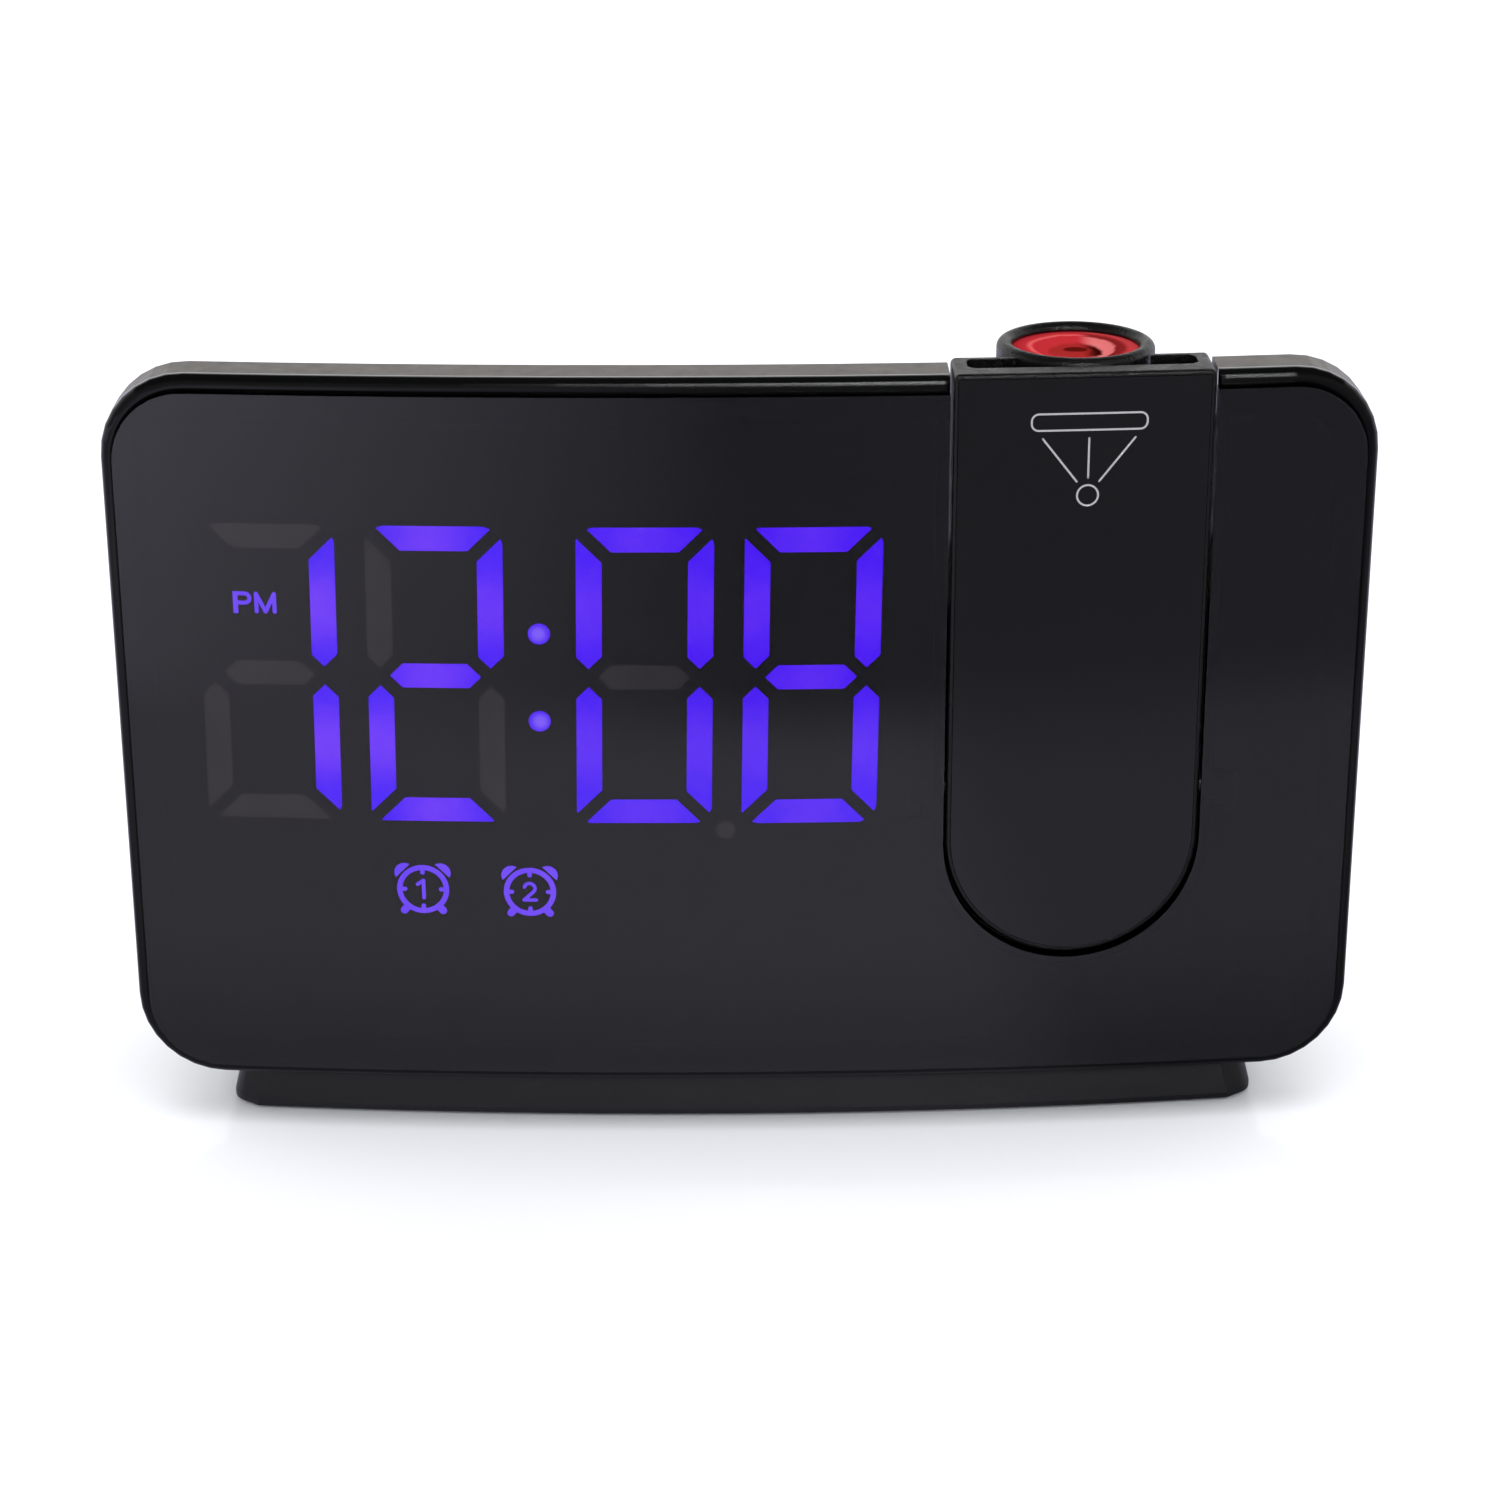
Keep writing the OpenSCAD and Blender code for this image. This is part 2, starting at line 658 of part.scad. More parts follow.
module speaker_grille() {
    for (i = [-4:4]) for (j = [-4:4]) {
        x = i * grille_pitch + (j % 2 == 0 ? 0 : grille_pitch / 2);
        z = j * grille_pitch * sqrt(3) / 2;
        if (sqrt(x * x + z * z) < speaker_r - 4)
            rod_y(speaker_x + x, back_y - wall - 1, back_y + 1, grille_hole_r, speaker_z + z);
    }
}

module vent_slots() {
    slot_w = 2;
    slot_h = 14;
    slot_pitch = 7;
    for (i = [0:5]) translate([block_r - 47.6 + i * slot_pitch, back_y - wall - 1, z0 + 46]) {
        cube([slot_w, wall + 2, slot_h]);
        for (z = [0, slot_h]) translate([slot_w / 2, 0, z]) rotate([-90, 0, 0])
            cylinder(r = slot_w / 2, h = wall + 2, $fn = 24);
    }
}

// curved tray behind the bezel, open where the rear cover closes it
module rear_shell() {
    color([0.07, 0.07, 0.07]) difference() {
        union() {
            at_face() difference() {
                shell_outer();
                shell_inner();
            }
            at_face() screw_seats();
        }
        at_face() blocks(shell_d - 4, wall);
        at_arm() notch_cut(-5, arm_d + well_gap, 0);
        at_arm() notch_corners(shell_d, shell_roll, 1, bay_z);
        at_face() screw_holes();
    }
}

module blocks(y_a, inset) {
    block(block_l, block_m, deck_z, y_a, inset);
    block(block_m - 8 - 2 * inset, block_r, bay_z, y_a, inset);
}

module rear_cover() {
    color([0.07, 0.07, 0.07]) difference() {
        union() {
            at_face() difference() {
                intersection() {
                    blocks(shell_d, 0);
                    behind_face(shell_d + cover_gap);
                }
                blocks(shell_d - 4, wall);
            }
            at_face() board_posts();
        }
        at_arm() notch_cut(-5, arm_d + well_gap, 0);
        at_face() for (p = stand_screw_at) translate([p[0], p[1], z0 - 1])
            cylinder(r = screw_r, h = wall + 2);
        at_face() key_holes(key_gap);
        at_face() speaker_grille();
        at_face() vent_slots();
        at_face() rod_y(jack_x, back_y - wall - 1, back_y + 1, jack_r + 1.4, jack_z);
    }
}

// bosses for the four screws that hold the shell to the bezel
module screw_seats() {
    for (side = [-1, 1]) for (z = screw_z)
        rod_y(side * screw_x, screw_face + screw_seat_v, screw_face + shell_d - wall + 0.6, screw_seat_r, z);
}

module screw_holes() {
    for (side = [-1, 1]) for (z = screw_z) {
        rod_y(side * screw_x, screw_face, screw_face + shell_d, screw_r + 0.2, z);
        rod_y(side * screw_x, screw_face + shell_d - 2, screw_face + shell_d + 4, screw_head_r + 0.3, z);
    }
}

main_posts = [for (x = [main_board_l + main_post_in, main_board_r - main_post_in])
    for (z = [main_board_z0 + main_post_in, main_board_z1 - main_post_in]) [x, z]];

module board_posts() {
    for (p = main_posts) rod_y(p[0], main_board_y + board_t, back_y - post_root, post_r, p[1]);
    for (x = [block_l + key_post_in, block_m - key_post_in])
        translate([x, key_y + key_post_back, key_board_z + board_t])
            cylinder(r = post_r, h = deck_z - post_root - key_board_z - board_t);
    for (x = [power_board_l + power_post_in, power_board_l + power_board_w - power_post_in])
        translate([x, clock_d - power_post_back, z0 + post_root])
            cylinder(r = post_r, h = power_board_z - z0 - post_root);
    speaker_ring();
}

// ring that the speaker sits in
module speaker_ring() {
    difference() {
        rod_y(speaker_x, back_y - 6, back_y - 1, speaker_r + 1.6, speaker_z);
        rod_y(speaker_x, back_y - 7, back_y, speaker_r + seat_gap, speaker_z);
    }
}

module key_holes(play) {
    translate([0, 0, deck_z - wall - 1]) linear_extrude(height = wall + 4) {
        stadium(snooze_x, bar_l + 2 * play, snooze_w + 2 * play);
        for (x = key_x) translate([x, key_y]) circle(r = key_d / 2 + play, $fn = 48);
    }
}

module stadium(x, length, width) {
    translate([x - (length - width) / 2, key_y - width / 2]) square([length - width, width]);
    for (side = [-1, 1]) translate([x + side * (length - width) / 2, key_y]) circle(r = width / 2, $fn = 48);
}

// lining of the notch and of the space that the arm swings into
module arm_well() {
    top = z1 - wall - seat_gap;
    color([0.06, 0.06, 0.065]) at_arm() difference() {
        union() {
            arm_layer(rim_d, arm_d + well_gap + well_t) u_shape(notch_r + well_t, notch_c, top);
            intersection() {
                rod_u(-notch_r - well_t, notch_r + well_t, swing_r + well_t, hinge_v, hinge_z);
                translate([-boss_end, hinge_v, 0]) cube([2 * boss_end, clock_d, swing_top + well_t]);
            }
            for (side = [-1, 1]) rod_u(side < 0 ? -boss_end : notch_r,
                side < 0 ? -notch_r : boss_end, boss_r, hinge_v, hinge_z);
        }
        notch_cut(-5, arm_d + well_gap, 0);
        intersection() {
            rod_u(-notch_r, notch_r, swing_r, hinge_v, hinge_z);
            translate([-boss_end, hinge_v - 0.5, 0]) cube([2 * boss_end, clock_d, swing_top]);
        }
        rod_u(-boss_end - 1, boss_end + 1, hinge_pin_r + pin_play, hinge_v, hinge_z);
        // the bosses are flat behind the lens
        arm_layer(-5, lens_t + seat_gap) translate([-boss_end - 1, 0]) square([2 * boss_end + 2, z1]);
        // the bay behind the barrel is open, and the thin shell's rear wall closes the rest
        arm_layer(shell_d - wall - seat_gap, clock_d)
            translate([-40, bay_z - wall - seat_gap]) square([80, 60]);
    }
}

// ---------- stand ----------

module stand_shape(width, back) {
    r = stand_r;
    rear = clock_d;
    radius = face_r * 0.843;
    intersection() {
        translate([0, radius + back]) circle(r = radius, $fn = fine);
        union() {
            translate([-width / 2, back + 11]) square([width, rear - back - 11]);
            translate([-width / 2 + r, back - 1]) square([width - 2 * r, rear - back]);
            for (side = [-1, 1]) translate([side * (width / 2 - r), back + 11 - 2]) circle(r = r, $fn = 48);
        }
    }
}

module stand() {
    flat_z = foot_h;
    color([0.08, 0.08, 0.08]) at_face() difference() {
        hull() {
            translate([0, 0, flat_z]) linear_extrude(height = 0.8) stand_shape(stand_w, stand_back);
            translate([0, 0, z0 - 0.02]) linear_extrude(height = 0.02)
                stand_shape(stand_top_w, stand_back + stand_flare);
        }
        stand_hollow();
        battery_bay();
        for (p = stand_screw_at) translate([p[0], p[1], 0]) {
            cylinder(r = screw_r + 0.2, h = z0 + 1);
            cylinder(r = screw_head_r + 0.3, h = foot_h + 2.2);
        }
    }
}

stand_screw_at = [for (x = [-62, 20]) for (y = [clock_d - 26, clock_d - 8]) [x, y]];
rib_x = [-stand_w / 2 + 12, -14, 14, stand_w / 2 - 18];

// the stand is an upturned tray with ribs and the cell's holder left in it
module stand_hollow() {
    front = stand_back + stand_flare + 5 + stand_wall;
    difference() {
        translate([-stand_top_w / 2 + stand_wall, front, foot_h + stand_wall])
            cube([stand_top_w - 2 * stand_wall, clock_d - front - stand_wall, z0]);
        translate([door_x - door_w / 2 - 3.2, 0, 0]) cube([door_w + 6.4, clock_d, z0]);
        for (x = rib_x) translate([x, 0, 0]) cube([stand_rib_t, clock_d, z0]);
        for (p = stand_screw_at) translate([p[0], p[1], 0]) cylinder(r = stand_boss_r, h = z0);
    }
}

// door slides out to the rear, under the round seat of the cell
module battery_bay() {
    y = clock_d - door_l;
    translate([door_x - door_w / 2 - 0.2, y - 0.2, foot_h - 0.2])
        cube([door_w + 0.4, door_l + 1, door_t / 2 + 0.3]);
    translate([door_x - door_w / 2 - door_tongue - 0.2, y - 0.2, foot_h + door_t / 2 - 0.15])
        cube([door_w + 2 * door_tongue + 0.4, door_l + 1, door_t / 2 + 0.3]);
    translate([door_x, y + door_l / 2 - 1, foot_h])
        cylinder(r = cell_d / 2 + 0.3, h = cell_floor + cell_t + 0.3 - foot_h);
}

module battery_door() {
    grip = 0.6;
    color([0.09, 0.09, 0.09]) at_face()
    translate([door_x - door_w / 2, clock_d - door_l, foot_h]) difference() {
        union() {
            cube([door_w, door_l, door_t]);
            translate([-door_tongue, 0, door_t / 2]) cube([door_w + 2 * door_tongue, door_l, door_t / 2]);
        }
        for (i = [0:4]) translate([door_w / 2 - 6, door_l - 4 - i * 1.6, -eps]) cube([12, 0.8, grip]);
    }
}

module backup_cell() {
    color([0.8, 0.8, 0.8]) at_face() translate([door_x, cell_y, cell_z])
        cylinder(r = cell_d / 2, h = cell_t);
}

module cell_clip() {
    color([0.85, 0.8, 0.6]) at_face()
        translate([door_x - clip_w / 2, cell_y - clip_l / 2, cell_z + cell_t + clip_gap])
            cube([clip_w, clip_l, clip_t]);
}

module rubber_feet() {
    color([0.03, 0.03, 0.03]) at_face() for (side = [-1, 1]) for (y = [foot_front, clock_d - foot_back])
        translate([side * (stand_w / 2 - foot_in), y, 0]) cylinder(r = foot_r, h = foot_h);
}

// ---------- fasteners ----------

module screw(length) {
    cylinder(r = screw_r, h = length, $fn = 24);
    difference() {
        translate([0, 0, length]) cylinder(r = screw_head_r, h = screw_head_t, $fn = 32);
        for (a = [0, 90]) rotate([0, 0, a]) translate([-screw_slot_l / 2, -screw_slot_w / 2, length + 0.6])
            cube([screw_slot_l, screw_slot_w, screw_head_t]);
    }
}

module housing_screws() {
    color([0.35, 0.35, 0.36]) at_face() for (side = [-1, 1]) for (z = screw_z)
        translate([side * screw_x, screw_face + 3.8, z]) rotate([-90, 0, 0]) screw(shell_d - 2 - 3.8);
}

module stand_screws() {
    color([0.35, 0.35, 0.36]) at_face() for (p = stand_screw_at)
        translate([p[0], p[1], z0 + 0.9 * wall]) rotate([180, 0, 0]) screw(z0 + 0.9 * wall - foot_h - 2.2);
}

// ---------- electronics ----------

module main_board() {
    color([0.08, 0.32, 0.14]) at_face() translate([main_board_l, main_board_y, main_board_z0])
        cube([main_board_r - main_board_l, board_t, main_board_z1 - main_board_z0]);
}

// chips on the main board: from its right end, up from its lower edge, width, height
chips = [[41, 31, 14, 14], [79, 47, 10, 8], [19, 17, 8, 6]];

module board_chips() {
    color([0.05, 0.05, 0.05]) at_face() {
        for (c = chips) translate([main_board_r - c[0], main_board_y - chip_t, main_board_z0 + c[1]])
            cube([c[2], chip_t, c[3]]);
        for (i = [1:3]) rod_y(main_board_r + 2 - i * capacitor_pitch, main_board_y + board_t,
            main_board_y + board_t + capacitor_h, capacitor_r, main_board_z1 - capacitor_drop);
    }
}

module power_board() {
    color([0.08, 0.32, 0.14]) at_face()
        translate([power_board_l, clock_d - power_board_d - power_board_gap, power_board_z])
            cube([power_board_w, power_board_d, power_board_t]);
}

module dc_jack() {
    low = power_board_z + power_board_t;
    color([0.04, 0.04, 0.04]) at_face() difference() {
        union() {
            translate([jack_x - jack_w / 2, back_y - wall - jack_len, low])
                cube([jack_w, jack_len - 0.1, jack_z + jack_w / 2 - low]);
            rod_y(jack_x, back_y - wall - 1, back_y, jack_r + 1.3, jack_z);
        }
        rod_y(jack_x, back_y - jack_mouth, back_y + 1, jack_r, jack_z);
        rod_y(jack_x, back_y - jack_bore, back_y, jack_r - 0.3, jack_z);
    }
}

module jack_pin() {
    color([0.8, 0.8, 0.8]) at_face()
        rod_y(jack_x, back_y - jack_bore, back_y - jack_mouth - jack_pin_in, jack_pin_r, jack_z);
}

module speaker_basket() {
    color([0.6, 0.6, 0.62]) at_face() difference() {
        union() {
            rod_y(speaker_x, basket_y - basket_rim, basket_y, speaker_r, speaker_z);
            translate([speaker_x, basket_y - basket_rim, speaker_z]) rotate([90, 0, 0])
                cylinder(r1 = speaker_r - basket_step, r2 = basket_end, h = basket_h);
        }
        translate([speaker_x, basket_y + eps, speaker_z]) rotate([90, 0, 0])
            cylinder(r1 = speaker_r - basket_step - basket_wall, r2 = basket_end - basket_end_wall,
                h = basket_h + 1);
    }
}

module speaker_cone() {
    color([0.12, 0.12, 0.12]) at_face() translate([speaker_x, basket_y, speaker_z]) rotate([90, 0, 0])
        rotate_extrude() polygon([
            [0, cone_h - cap_low], [cap_r, cone_h],
            [cone_r - cone_lip, cone_lip], [cone_r, cone_lip], [cone_r, 2 * cone_lip],
            [cap_r, cone_h + cone_t], [0, cone_h - cap_low + 1]
        ]);
}

module speaker_magnet() {
    y = basket_y - basket_rim - basket_h;
    color([0.25, 0.25, 0.26]) at_face() rod_y(speaker_x, y - magnet_h, y, magnet_r, speaker_z);
}

module key_board() {
    color([0.08, 0.32, 0.14]) at_face()
        translate([block_l + key_board_in, key_y - key_board_front, key_board_z])
            cube([block_m - block_l - 2 * key_board_in, key_board_w, board_t]);
}

switch_x = concat([snooze_x - stem_u, snooze_x + stem_u], key_x);

module key_switches() {
    color([0.15, 0.15, 0.15]) at_face() for (x = switch_x) translate([x, key_y, key_board_z + board_t]) {
        translate([-switch_w / 2, -switch_w / 2, 0]) cube([switch_w, switch_w, switch_body_h]);
        cylinder(r = plunger_r, h = switch_h - key_travel - 0.2, $fn = 32);
    }
}

// ---------- controls ----------

// cap, retaining flange under the deck and stem down to the switch
key_low = key_board_z + board_t + switch_h - 0.1;
flange_z = deck_z - wall - 0.15 - flange;

module snooze_bar() {
    cap = 1;
    color([0.1, 0.1, 0.1]) at_face() {
        hull() {
            translate([0, 0, deck_z + key_rise - cap - 0.02]) linear_extrude(height = 0.02)
                stadium(snooze_x, bar_l, snooze_w);
            translate([0, 0, deck_z + key_rise - 0.35]) linear_extrude(height = 0.02)
                stadium(snooze_x, bar_l - 0.5, snooze_w - 0.5);
            translate([0, 0, deck_z + key_rise - 0.02]) linear_extrude(height = 0.02)
                stadium(snooze_x, bar_l - 1.8, snooze_w - 1.8);
        }
        translate([0, 0, flange_z]) linear_extrude(height = deck_z + key_rise - cap - flange_z)
            stadium(snooze_x, bar_l, snooze_w);
        translate([0, 0, flange_z]) linear_extrude(height = flange)
            stadium(snooze_x, bar_l + 2 * flange, snooze_w + 2 * flange);
        for (side = [-1, 1]) translate([snooze_x + side * stem_u, key_y, key_low])
            cylinder(r = stem_r, h = flange_z - key_low + 0.1);
    }
}

module key(i) {
    r = key_d / 2;
    top = deck_z + key_rise;
    color([0.12, 0.12, 0.12]) at_face() translate([key_x[i], key_y, 0]) rotate_extrude($fn = 48) polygon([
        [0, key_low], [1.5, key_low], [1.5, flange_z],
        [r + flange, flange_z], [r + flange, flange_z + flange], [r, flange_z + flange],
        [r, top - 0.6], [r - 0.2, top - 0.2], [r - 0.6, top], [0, top - 0.25]]);
}

module key_alarm_1() { key(0); }
module key_alarm_2() { key(1); }
module key_clock() { key(2); }
module key_down() { key(3); }
module key_up() { key(4); }
module key_projector() { key(5); }

// ---------- projector arm ----------

// columns of the arm's outline taken in by inset: [x, upper z, lower z]
arm_steps = 36;
function arm_columns(inset) = let (r = arm_r - inset, corner = max(arm_corner - inset, 0.15))
    [for (i = [0:arm_steps]) let (
            u = -r * cos(180 * i / arm_steps),
            off = max(corner - (r - abs(u)), 0))
        [arm_x + u, arm_top - inset - corner + sqrt(corner * corner - off * off),
            arm_c - sqrt(max(r * r - u * u, 0))]];

// tray of the arm, with its front and rear edges rounded all round
module arm_body() {
    turn = [0, 30, 60, 90];
    front = [for (a = turn) [edge_front * (1 - cos(a)), edge_front * (1 - sin(a))]];
    back = [for (a = turn) [arm_d - edge_back * (1 - sin(a)), edge_back * (1 - cos(a))]];
    sections = concat(front, back);
    translate([-arm_x, -arm_y, 0])
        column_loft([for (s = sections) arm_columns(s[1])], [for (s = sections) s[0]]);
}

module arm_frame() {
    inner_u = arm_r - 6;
    color([0.09, 0.09, 0.09]) at_arm() difference() {
        union() {
            arm_body();
            for (side = [-1, 1]) pivot_ear(side);
        }
        // seat of the front plate
        arm_layer(-1, cover_t) u_shape(arm_r - cover_in, arm_c, arm_top - cover_top);
        arm_pocket();
        // room for the barrel through the back wall
        translate([0, barrel_v, pocket_z]) cylinder(r = barrel_r + barrel_gap, h = arm_top);
        // hollow under the front plate
        arm_layer(cover_t - 0.1, arm_d - arm_back) translate([-inner_u, hinge_z + 4])
            square([2 * inner_u, pocket_z - hinge_z - 6]);
        for (side = [-1, 1]) rod_u(side < 0 ? -arm_r - 1 : arm_r - 5, side < 0 ? -arm_r + 5 : arm_r + 1,
            hinge_pin_r, hinge_v, hinge_z);
    }
}

// open pocket on both sides of the barrel, with corners rounded in plan
module arm_pocket() {
    half = arm_r - arm_side;
    r = pocket_round;
    v_a = arm_front;
    v_b = arm_d - arm_back;
    translate([0, 0, pocket_z]) linear_extrude(height = arm_top) {
        arm_plan(v_a, v_b) translate([r - half, -5]) square([2 * (half - r), clock_d]);
        arm_plan(v_a + r, v_b - r) translate([-half, -5]) square([2 * half, clock_d]);
        for (u = [r - half, half - r]) for (v = [v_a + r, v_b - r])
            translate([u, arm_face(u, v)]) circle(r = r, $fn = 48);
    }
}

// the part of a plan view that lies between two depths behind the curved face
module arm_plan(v_a, v_b) {
    intersection() {
        children();
        translate([-arm_x, face_r - arm_y]) difference() {
            circle(r = face_r - v_a, $fn = fine);
            circle(r = face_r - v_b, $fn = fine);
        }
    }
}

// ear behind the arm that carries one end of the barrel's pivot
module pivot_ear(side) {
    u = side < 0 ? -ear_u - ear_t : ear_u;
    root = arm_face(u + ear_t / 2, arm_d - arm_back / 2);
    difference() {
        union() {
            rod_u(u, u + ear_t, ear_r, barrel_v, barrel_z);
            translate([u, root, barrel_z - ear_r]) cube([ear_t, barrel_v - root, 2 * ear_r]);
        }
        rod_u(u - 1, u + ear_t + 1, pivot_pin_r + pin_play, barrel_v, barrel_z);
    }
}

module arm_cover() {
    play = 0.08;
    color([0.05, 0.05, 0.055]) at_arm()
        arm_layer(0, cover_t - seat_gap) u_shape(arm_r - cover_in - play, arm_c, arm_top - cover_top - play);
}

module arm_hinge_pins() {
    color([0.75, 0.75, 0.76]) at_arm() for (side = [-1, 1])
        rod_u(side < 0 ? -boss_end + 0.3 : arm_r - 5,
            side < 0 ? -arm_r + 5 : boss_end - 0.3, hinge_pin_r, hinge_v, hinge_z);
}

// ---------- projector barrel, turned about its own axis ----------

module at_barrel() { at_arm() translate([0, barrel_v, 0]) children(); }

rim_low = barrel_top - window_drop - window_t;
rim_r = barrel_wall / 2;          // the rim is fully rounded
trunnion_r = 3.4;                 // bosses inside the barrel, round its pivot pins
lamp_board_t = 1;
chamber_z = barrel_z - trunnion_r - lamp_board_t - 0.2;
chamber_r = bore_r - 0.6;

// half section of the barrel: radius, height
module barrel_profile() {
    difference() {
        union() {
            translate([0, barrel_z]) intersection() {
                circle(r = barrel_r);
                translate([0, -barrel_r]) square(barrel_r);
            }
            translate([0, barrel_z]) square([barrel_r, barrel_top - rim_r - barrel_z]);
            translate([barrel_r - rim_r, barrel_top - rim_r]) circle(r = rim_r, $fn = 48);
        }
        translate([-1, rim_low]) square([bore_r + 1, barrel_top - rim_r - rim_low]);
        // seat of the window
        translate([-1, rim_low]) square([bore_r + 1.7, window_t + 0.3]);
        translate([-1, chamber_z]) square([chamber_r + 1, rim_low - chamber_z + 0.1]);
        // room for the focus wheel
        translate([-1, wheel_z - 0.15]) square([barrel_r + 0.1, wheel_h + 0.3]);
    }
}

// barrel shell with a round lower end about the pivot
module barrel_body() {
    pin_bore = pivot_pin_r;
    difference() {
        rotate_extrude() barrel_profile();
        rod_u(-barrel_r - 1, barrel_r + 1, pin_bore, 0, barrel_z);
    }
    for (side = [-1, 1]) difference() {
        rod_u(side < 0 ? -barrel_r + 1 : 5.6, side < 0 ? -5.6 : barrel_r - 1, trunnion_r, 0, barrel_z);
        rod_u(-barrel_r - 1, barrel_r + 1, pin_bore, 0, barrel_z);
    }
}

module barrel_front() {
    color([0.07, 0.07, 0.07]) at_barrel() intersection() {
        barrel_body();
        translate([-20, -20 - 0.02, 60]) cube([40, 20, 80]);
    }
}

module barrel_rear() {
    color([0.07, 0.07, 0.07]) at_barrel() difference() {
        intersection() {
            barrel_body();
            translate([-20, 0.02, 60]) cube([40, 20, 80]);
        }
        wheel_slot();
    }
}

// slot in the rear half that the focus wheel shows through
module wheel_slot() {
    translate([0, 0, wheel_z - 0.3]) linear_extrude(height = wheel_h + 0.6)
        polygon(concat([[0, 0]], [for (a = [-1, 0, 1]) 20 * [sin(a * slot_deg), cos(a * slot_deg)]]));
}

module barrel_pivot_pins() {
    inner = 5.8;
    outer = ear_u + ear_t - 0.2;
    color([0.75, 0.75, 0.76]) at_barrel() for (ends = [[-outer, -inner], [inner, outer]])
        rod_u(ends[0], ends[1], pivot_pin_r - 0.02, 0, barrel_z);
}

// red window: a flat rim, a dished ring and a small lens in the middle
module projector_window() {
    bottom = rim_low + 0.1;
    dish_z = window_t - dish_d;
    dome = (eye_r * eye_r + eye_h * eye_h) / (2 * eye_h);
    color([0.75, 0.05, 0.07, 0.8]) at_barrel() translate([0, 0, bottom]) rotate_extrude() {
        difference() {
            square([bore_r + 0.6, window_t]);
            polygon([
                [-1, dish_z], [eye_r, dish_z], [window_land, window_t],
                [window_land, window_t + 1], [-1, window_t + 1]
            ]);
        }
        intersection() {
            translate([0, dish_z + eye_h - dome]) circle(r = dome, $fn = 180);
            translate([0, dish_z - 0.2]) square([eye_r, 2]);
        }
    }
}

module focus_wheel() {
    color([0.12, 0.12, 0.12]) at_barrel() difference() {
        union() {
            translate([0, 0, wheel_z]) cylinder(r = wheel_r, h = wheel_h);
            translate([0, 0, wheel_z - tube_h]) cylinder(r = tube_r, h = tube_h + 0.1);
        }
        translate([0, 0, wheel_z - tube_h - 1]) cylinder(r = wheel_in, h = wheel_h + 8);
        for (i = [0:knurls - 1]) rotate([0, 0, i * 360 / knurls])
            translate([wheel_r, 0, wheel_z - 1]) cylinder(r = knurl_r, h = wheel_h + 2, $fn = 16);
    }
}

module focus_lens() {
    color([0.85, 0.9, 0.95, 0.5]) at_barrel() intersection() {
        translate([0, 0, wheel_z - focus_lens_in]) cylinder(r = wheel_in, h = focus_lens_t);
        translate([0, 0, wheel_z - focus_lens_in + focus_lens_t - focus_lens_ball])
            sphere(r = focus_lens_ball, $fn = 120);
    }
}

module projector_board() {
    color([0.08, 0.32, 0.14]) at_barrel() translate([0, 0, chamber_z])
        cylinder(r = bore_r - 0.8, h = lamp_board_t);
}

module projector_led() {
    color([0.95, 0.95, 0.9]) at_barrel() {
        translate([-2, -2, chamber_z + lamp_board_t]) cube([4, 4, 1]);
        translate([0, 0, chamber_z + lamp_board_t + 1]) cylinder(r = 1.5, h = 1.4);
    }
}

module time_slide() {
    color([0.5, 0.55, 0.55, 0.6]) at_barrel()
        translate([-slide_w / 2, -slide_w / 2, barrel_z + slide_rise]) cube([slide_w, slide_w, slide_t]);
}

front_bezel();
display_lens();
display_mask();
lit_segments();
unlit_segments();
light_box();
display_board();
led_chips();
rear_shell();
rear_cover();
arm_well();
stand();
rubber_feet();
housing_screws();
stand_screws();
battery_door();
backup_cell();
cell_clip();
main_board();
board_chips();
power_board();
dc_jack();
jack_pin();
speaker_basket();
speaker_cone();
speaker_magnet();
key_board();
key_switches();
snooze_bar();
key_alarm_1();
key_alarm_2();
key_clock();
key_down();
key_up();
key_projector();
arm_frame();
arm_cover();
arm_hinge_pins();
barrel_front();
barrel_rear();
barrel_pivot_pins();
projector_window();
focus_wheel();
focus_lens();
projector_board();
projector_led();
time_slide();
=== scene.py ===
"""Looks of the projection alarm clock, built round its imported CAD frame. Metres, +Z up, the front faces -Y."""

import json
import math

import bmesh
import bpy
from mathutils import Matrix, Vector


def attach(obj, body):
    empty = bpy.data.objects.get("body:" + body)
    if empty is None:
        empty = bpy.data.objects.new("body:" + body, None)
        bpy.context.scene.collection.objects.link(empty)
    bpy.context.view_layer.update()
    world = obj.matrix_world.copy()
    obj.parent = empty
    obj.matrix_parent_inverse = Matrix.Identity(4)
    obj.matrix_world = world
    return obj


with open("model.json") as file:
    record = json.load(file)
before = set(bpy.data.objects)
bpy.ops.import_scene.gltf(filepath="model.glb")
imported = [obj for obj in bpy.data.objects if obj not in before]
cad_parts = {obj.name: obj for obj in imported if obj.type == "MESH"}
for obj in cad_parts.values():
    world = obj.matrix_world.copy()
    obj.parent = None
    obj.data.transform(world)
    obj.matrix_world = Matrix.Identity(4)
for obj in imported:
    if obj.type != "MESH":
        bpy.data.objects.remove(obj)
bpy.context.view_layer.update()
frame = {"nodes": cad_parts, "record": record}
nodes = frame["nodes"]
scene = bpy.context.scene
scene.view_settings.view_transform = "Standard"
scene.view_settings.look = "None"
MM = 0.001
FACE_R, DEPTH = 810.0, 46.0   # radius of the curved front and depth of the clock, in millimetres

# ---------- camera ----------

CAM_AT = (-4.073, -502.544, 249.661)                # millimetres
CAM_PITCH, CAM_YAW, CAM_ROLL = 0.3733, 0.0108, -0.0033  # radians
FOCAL_PX, FRAME_PX, SENSOR = 3555.47, 1500.0, 36.0


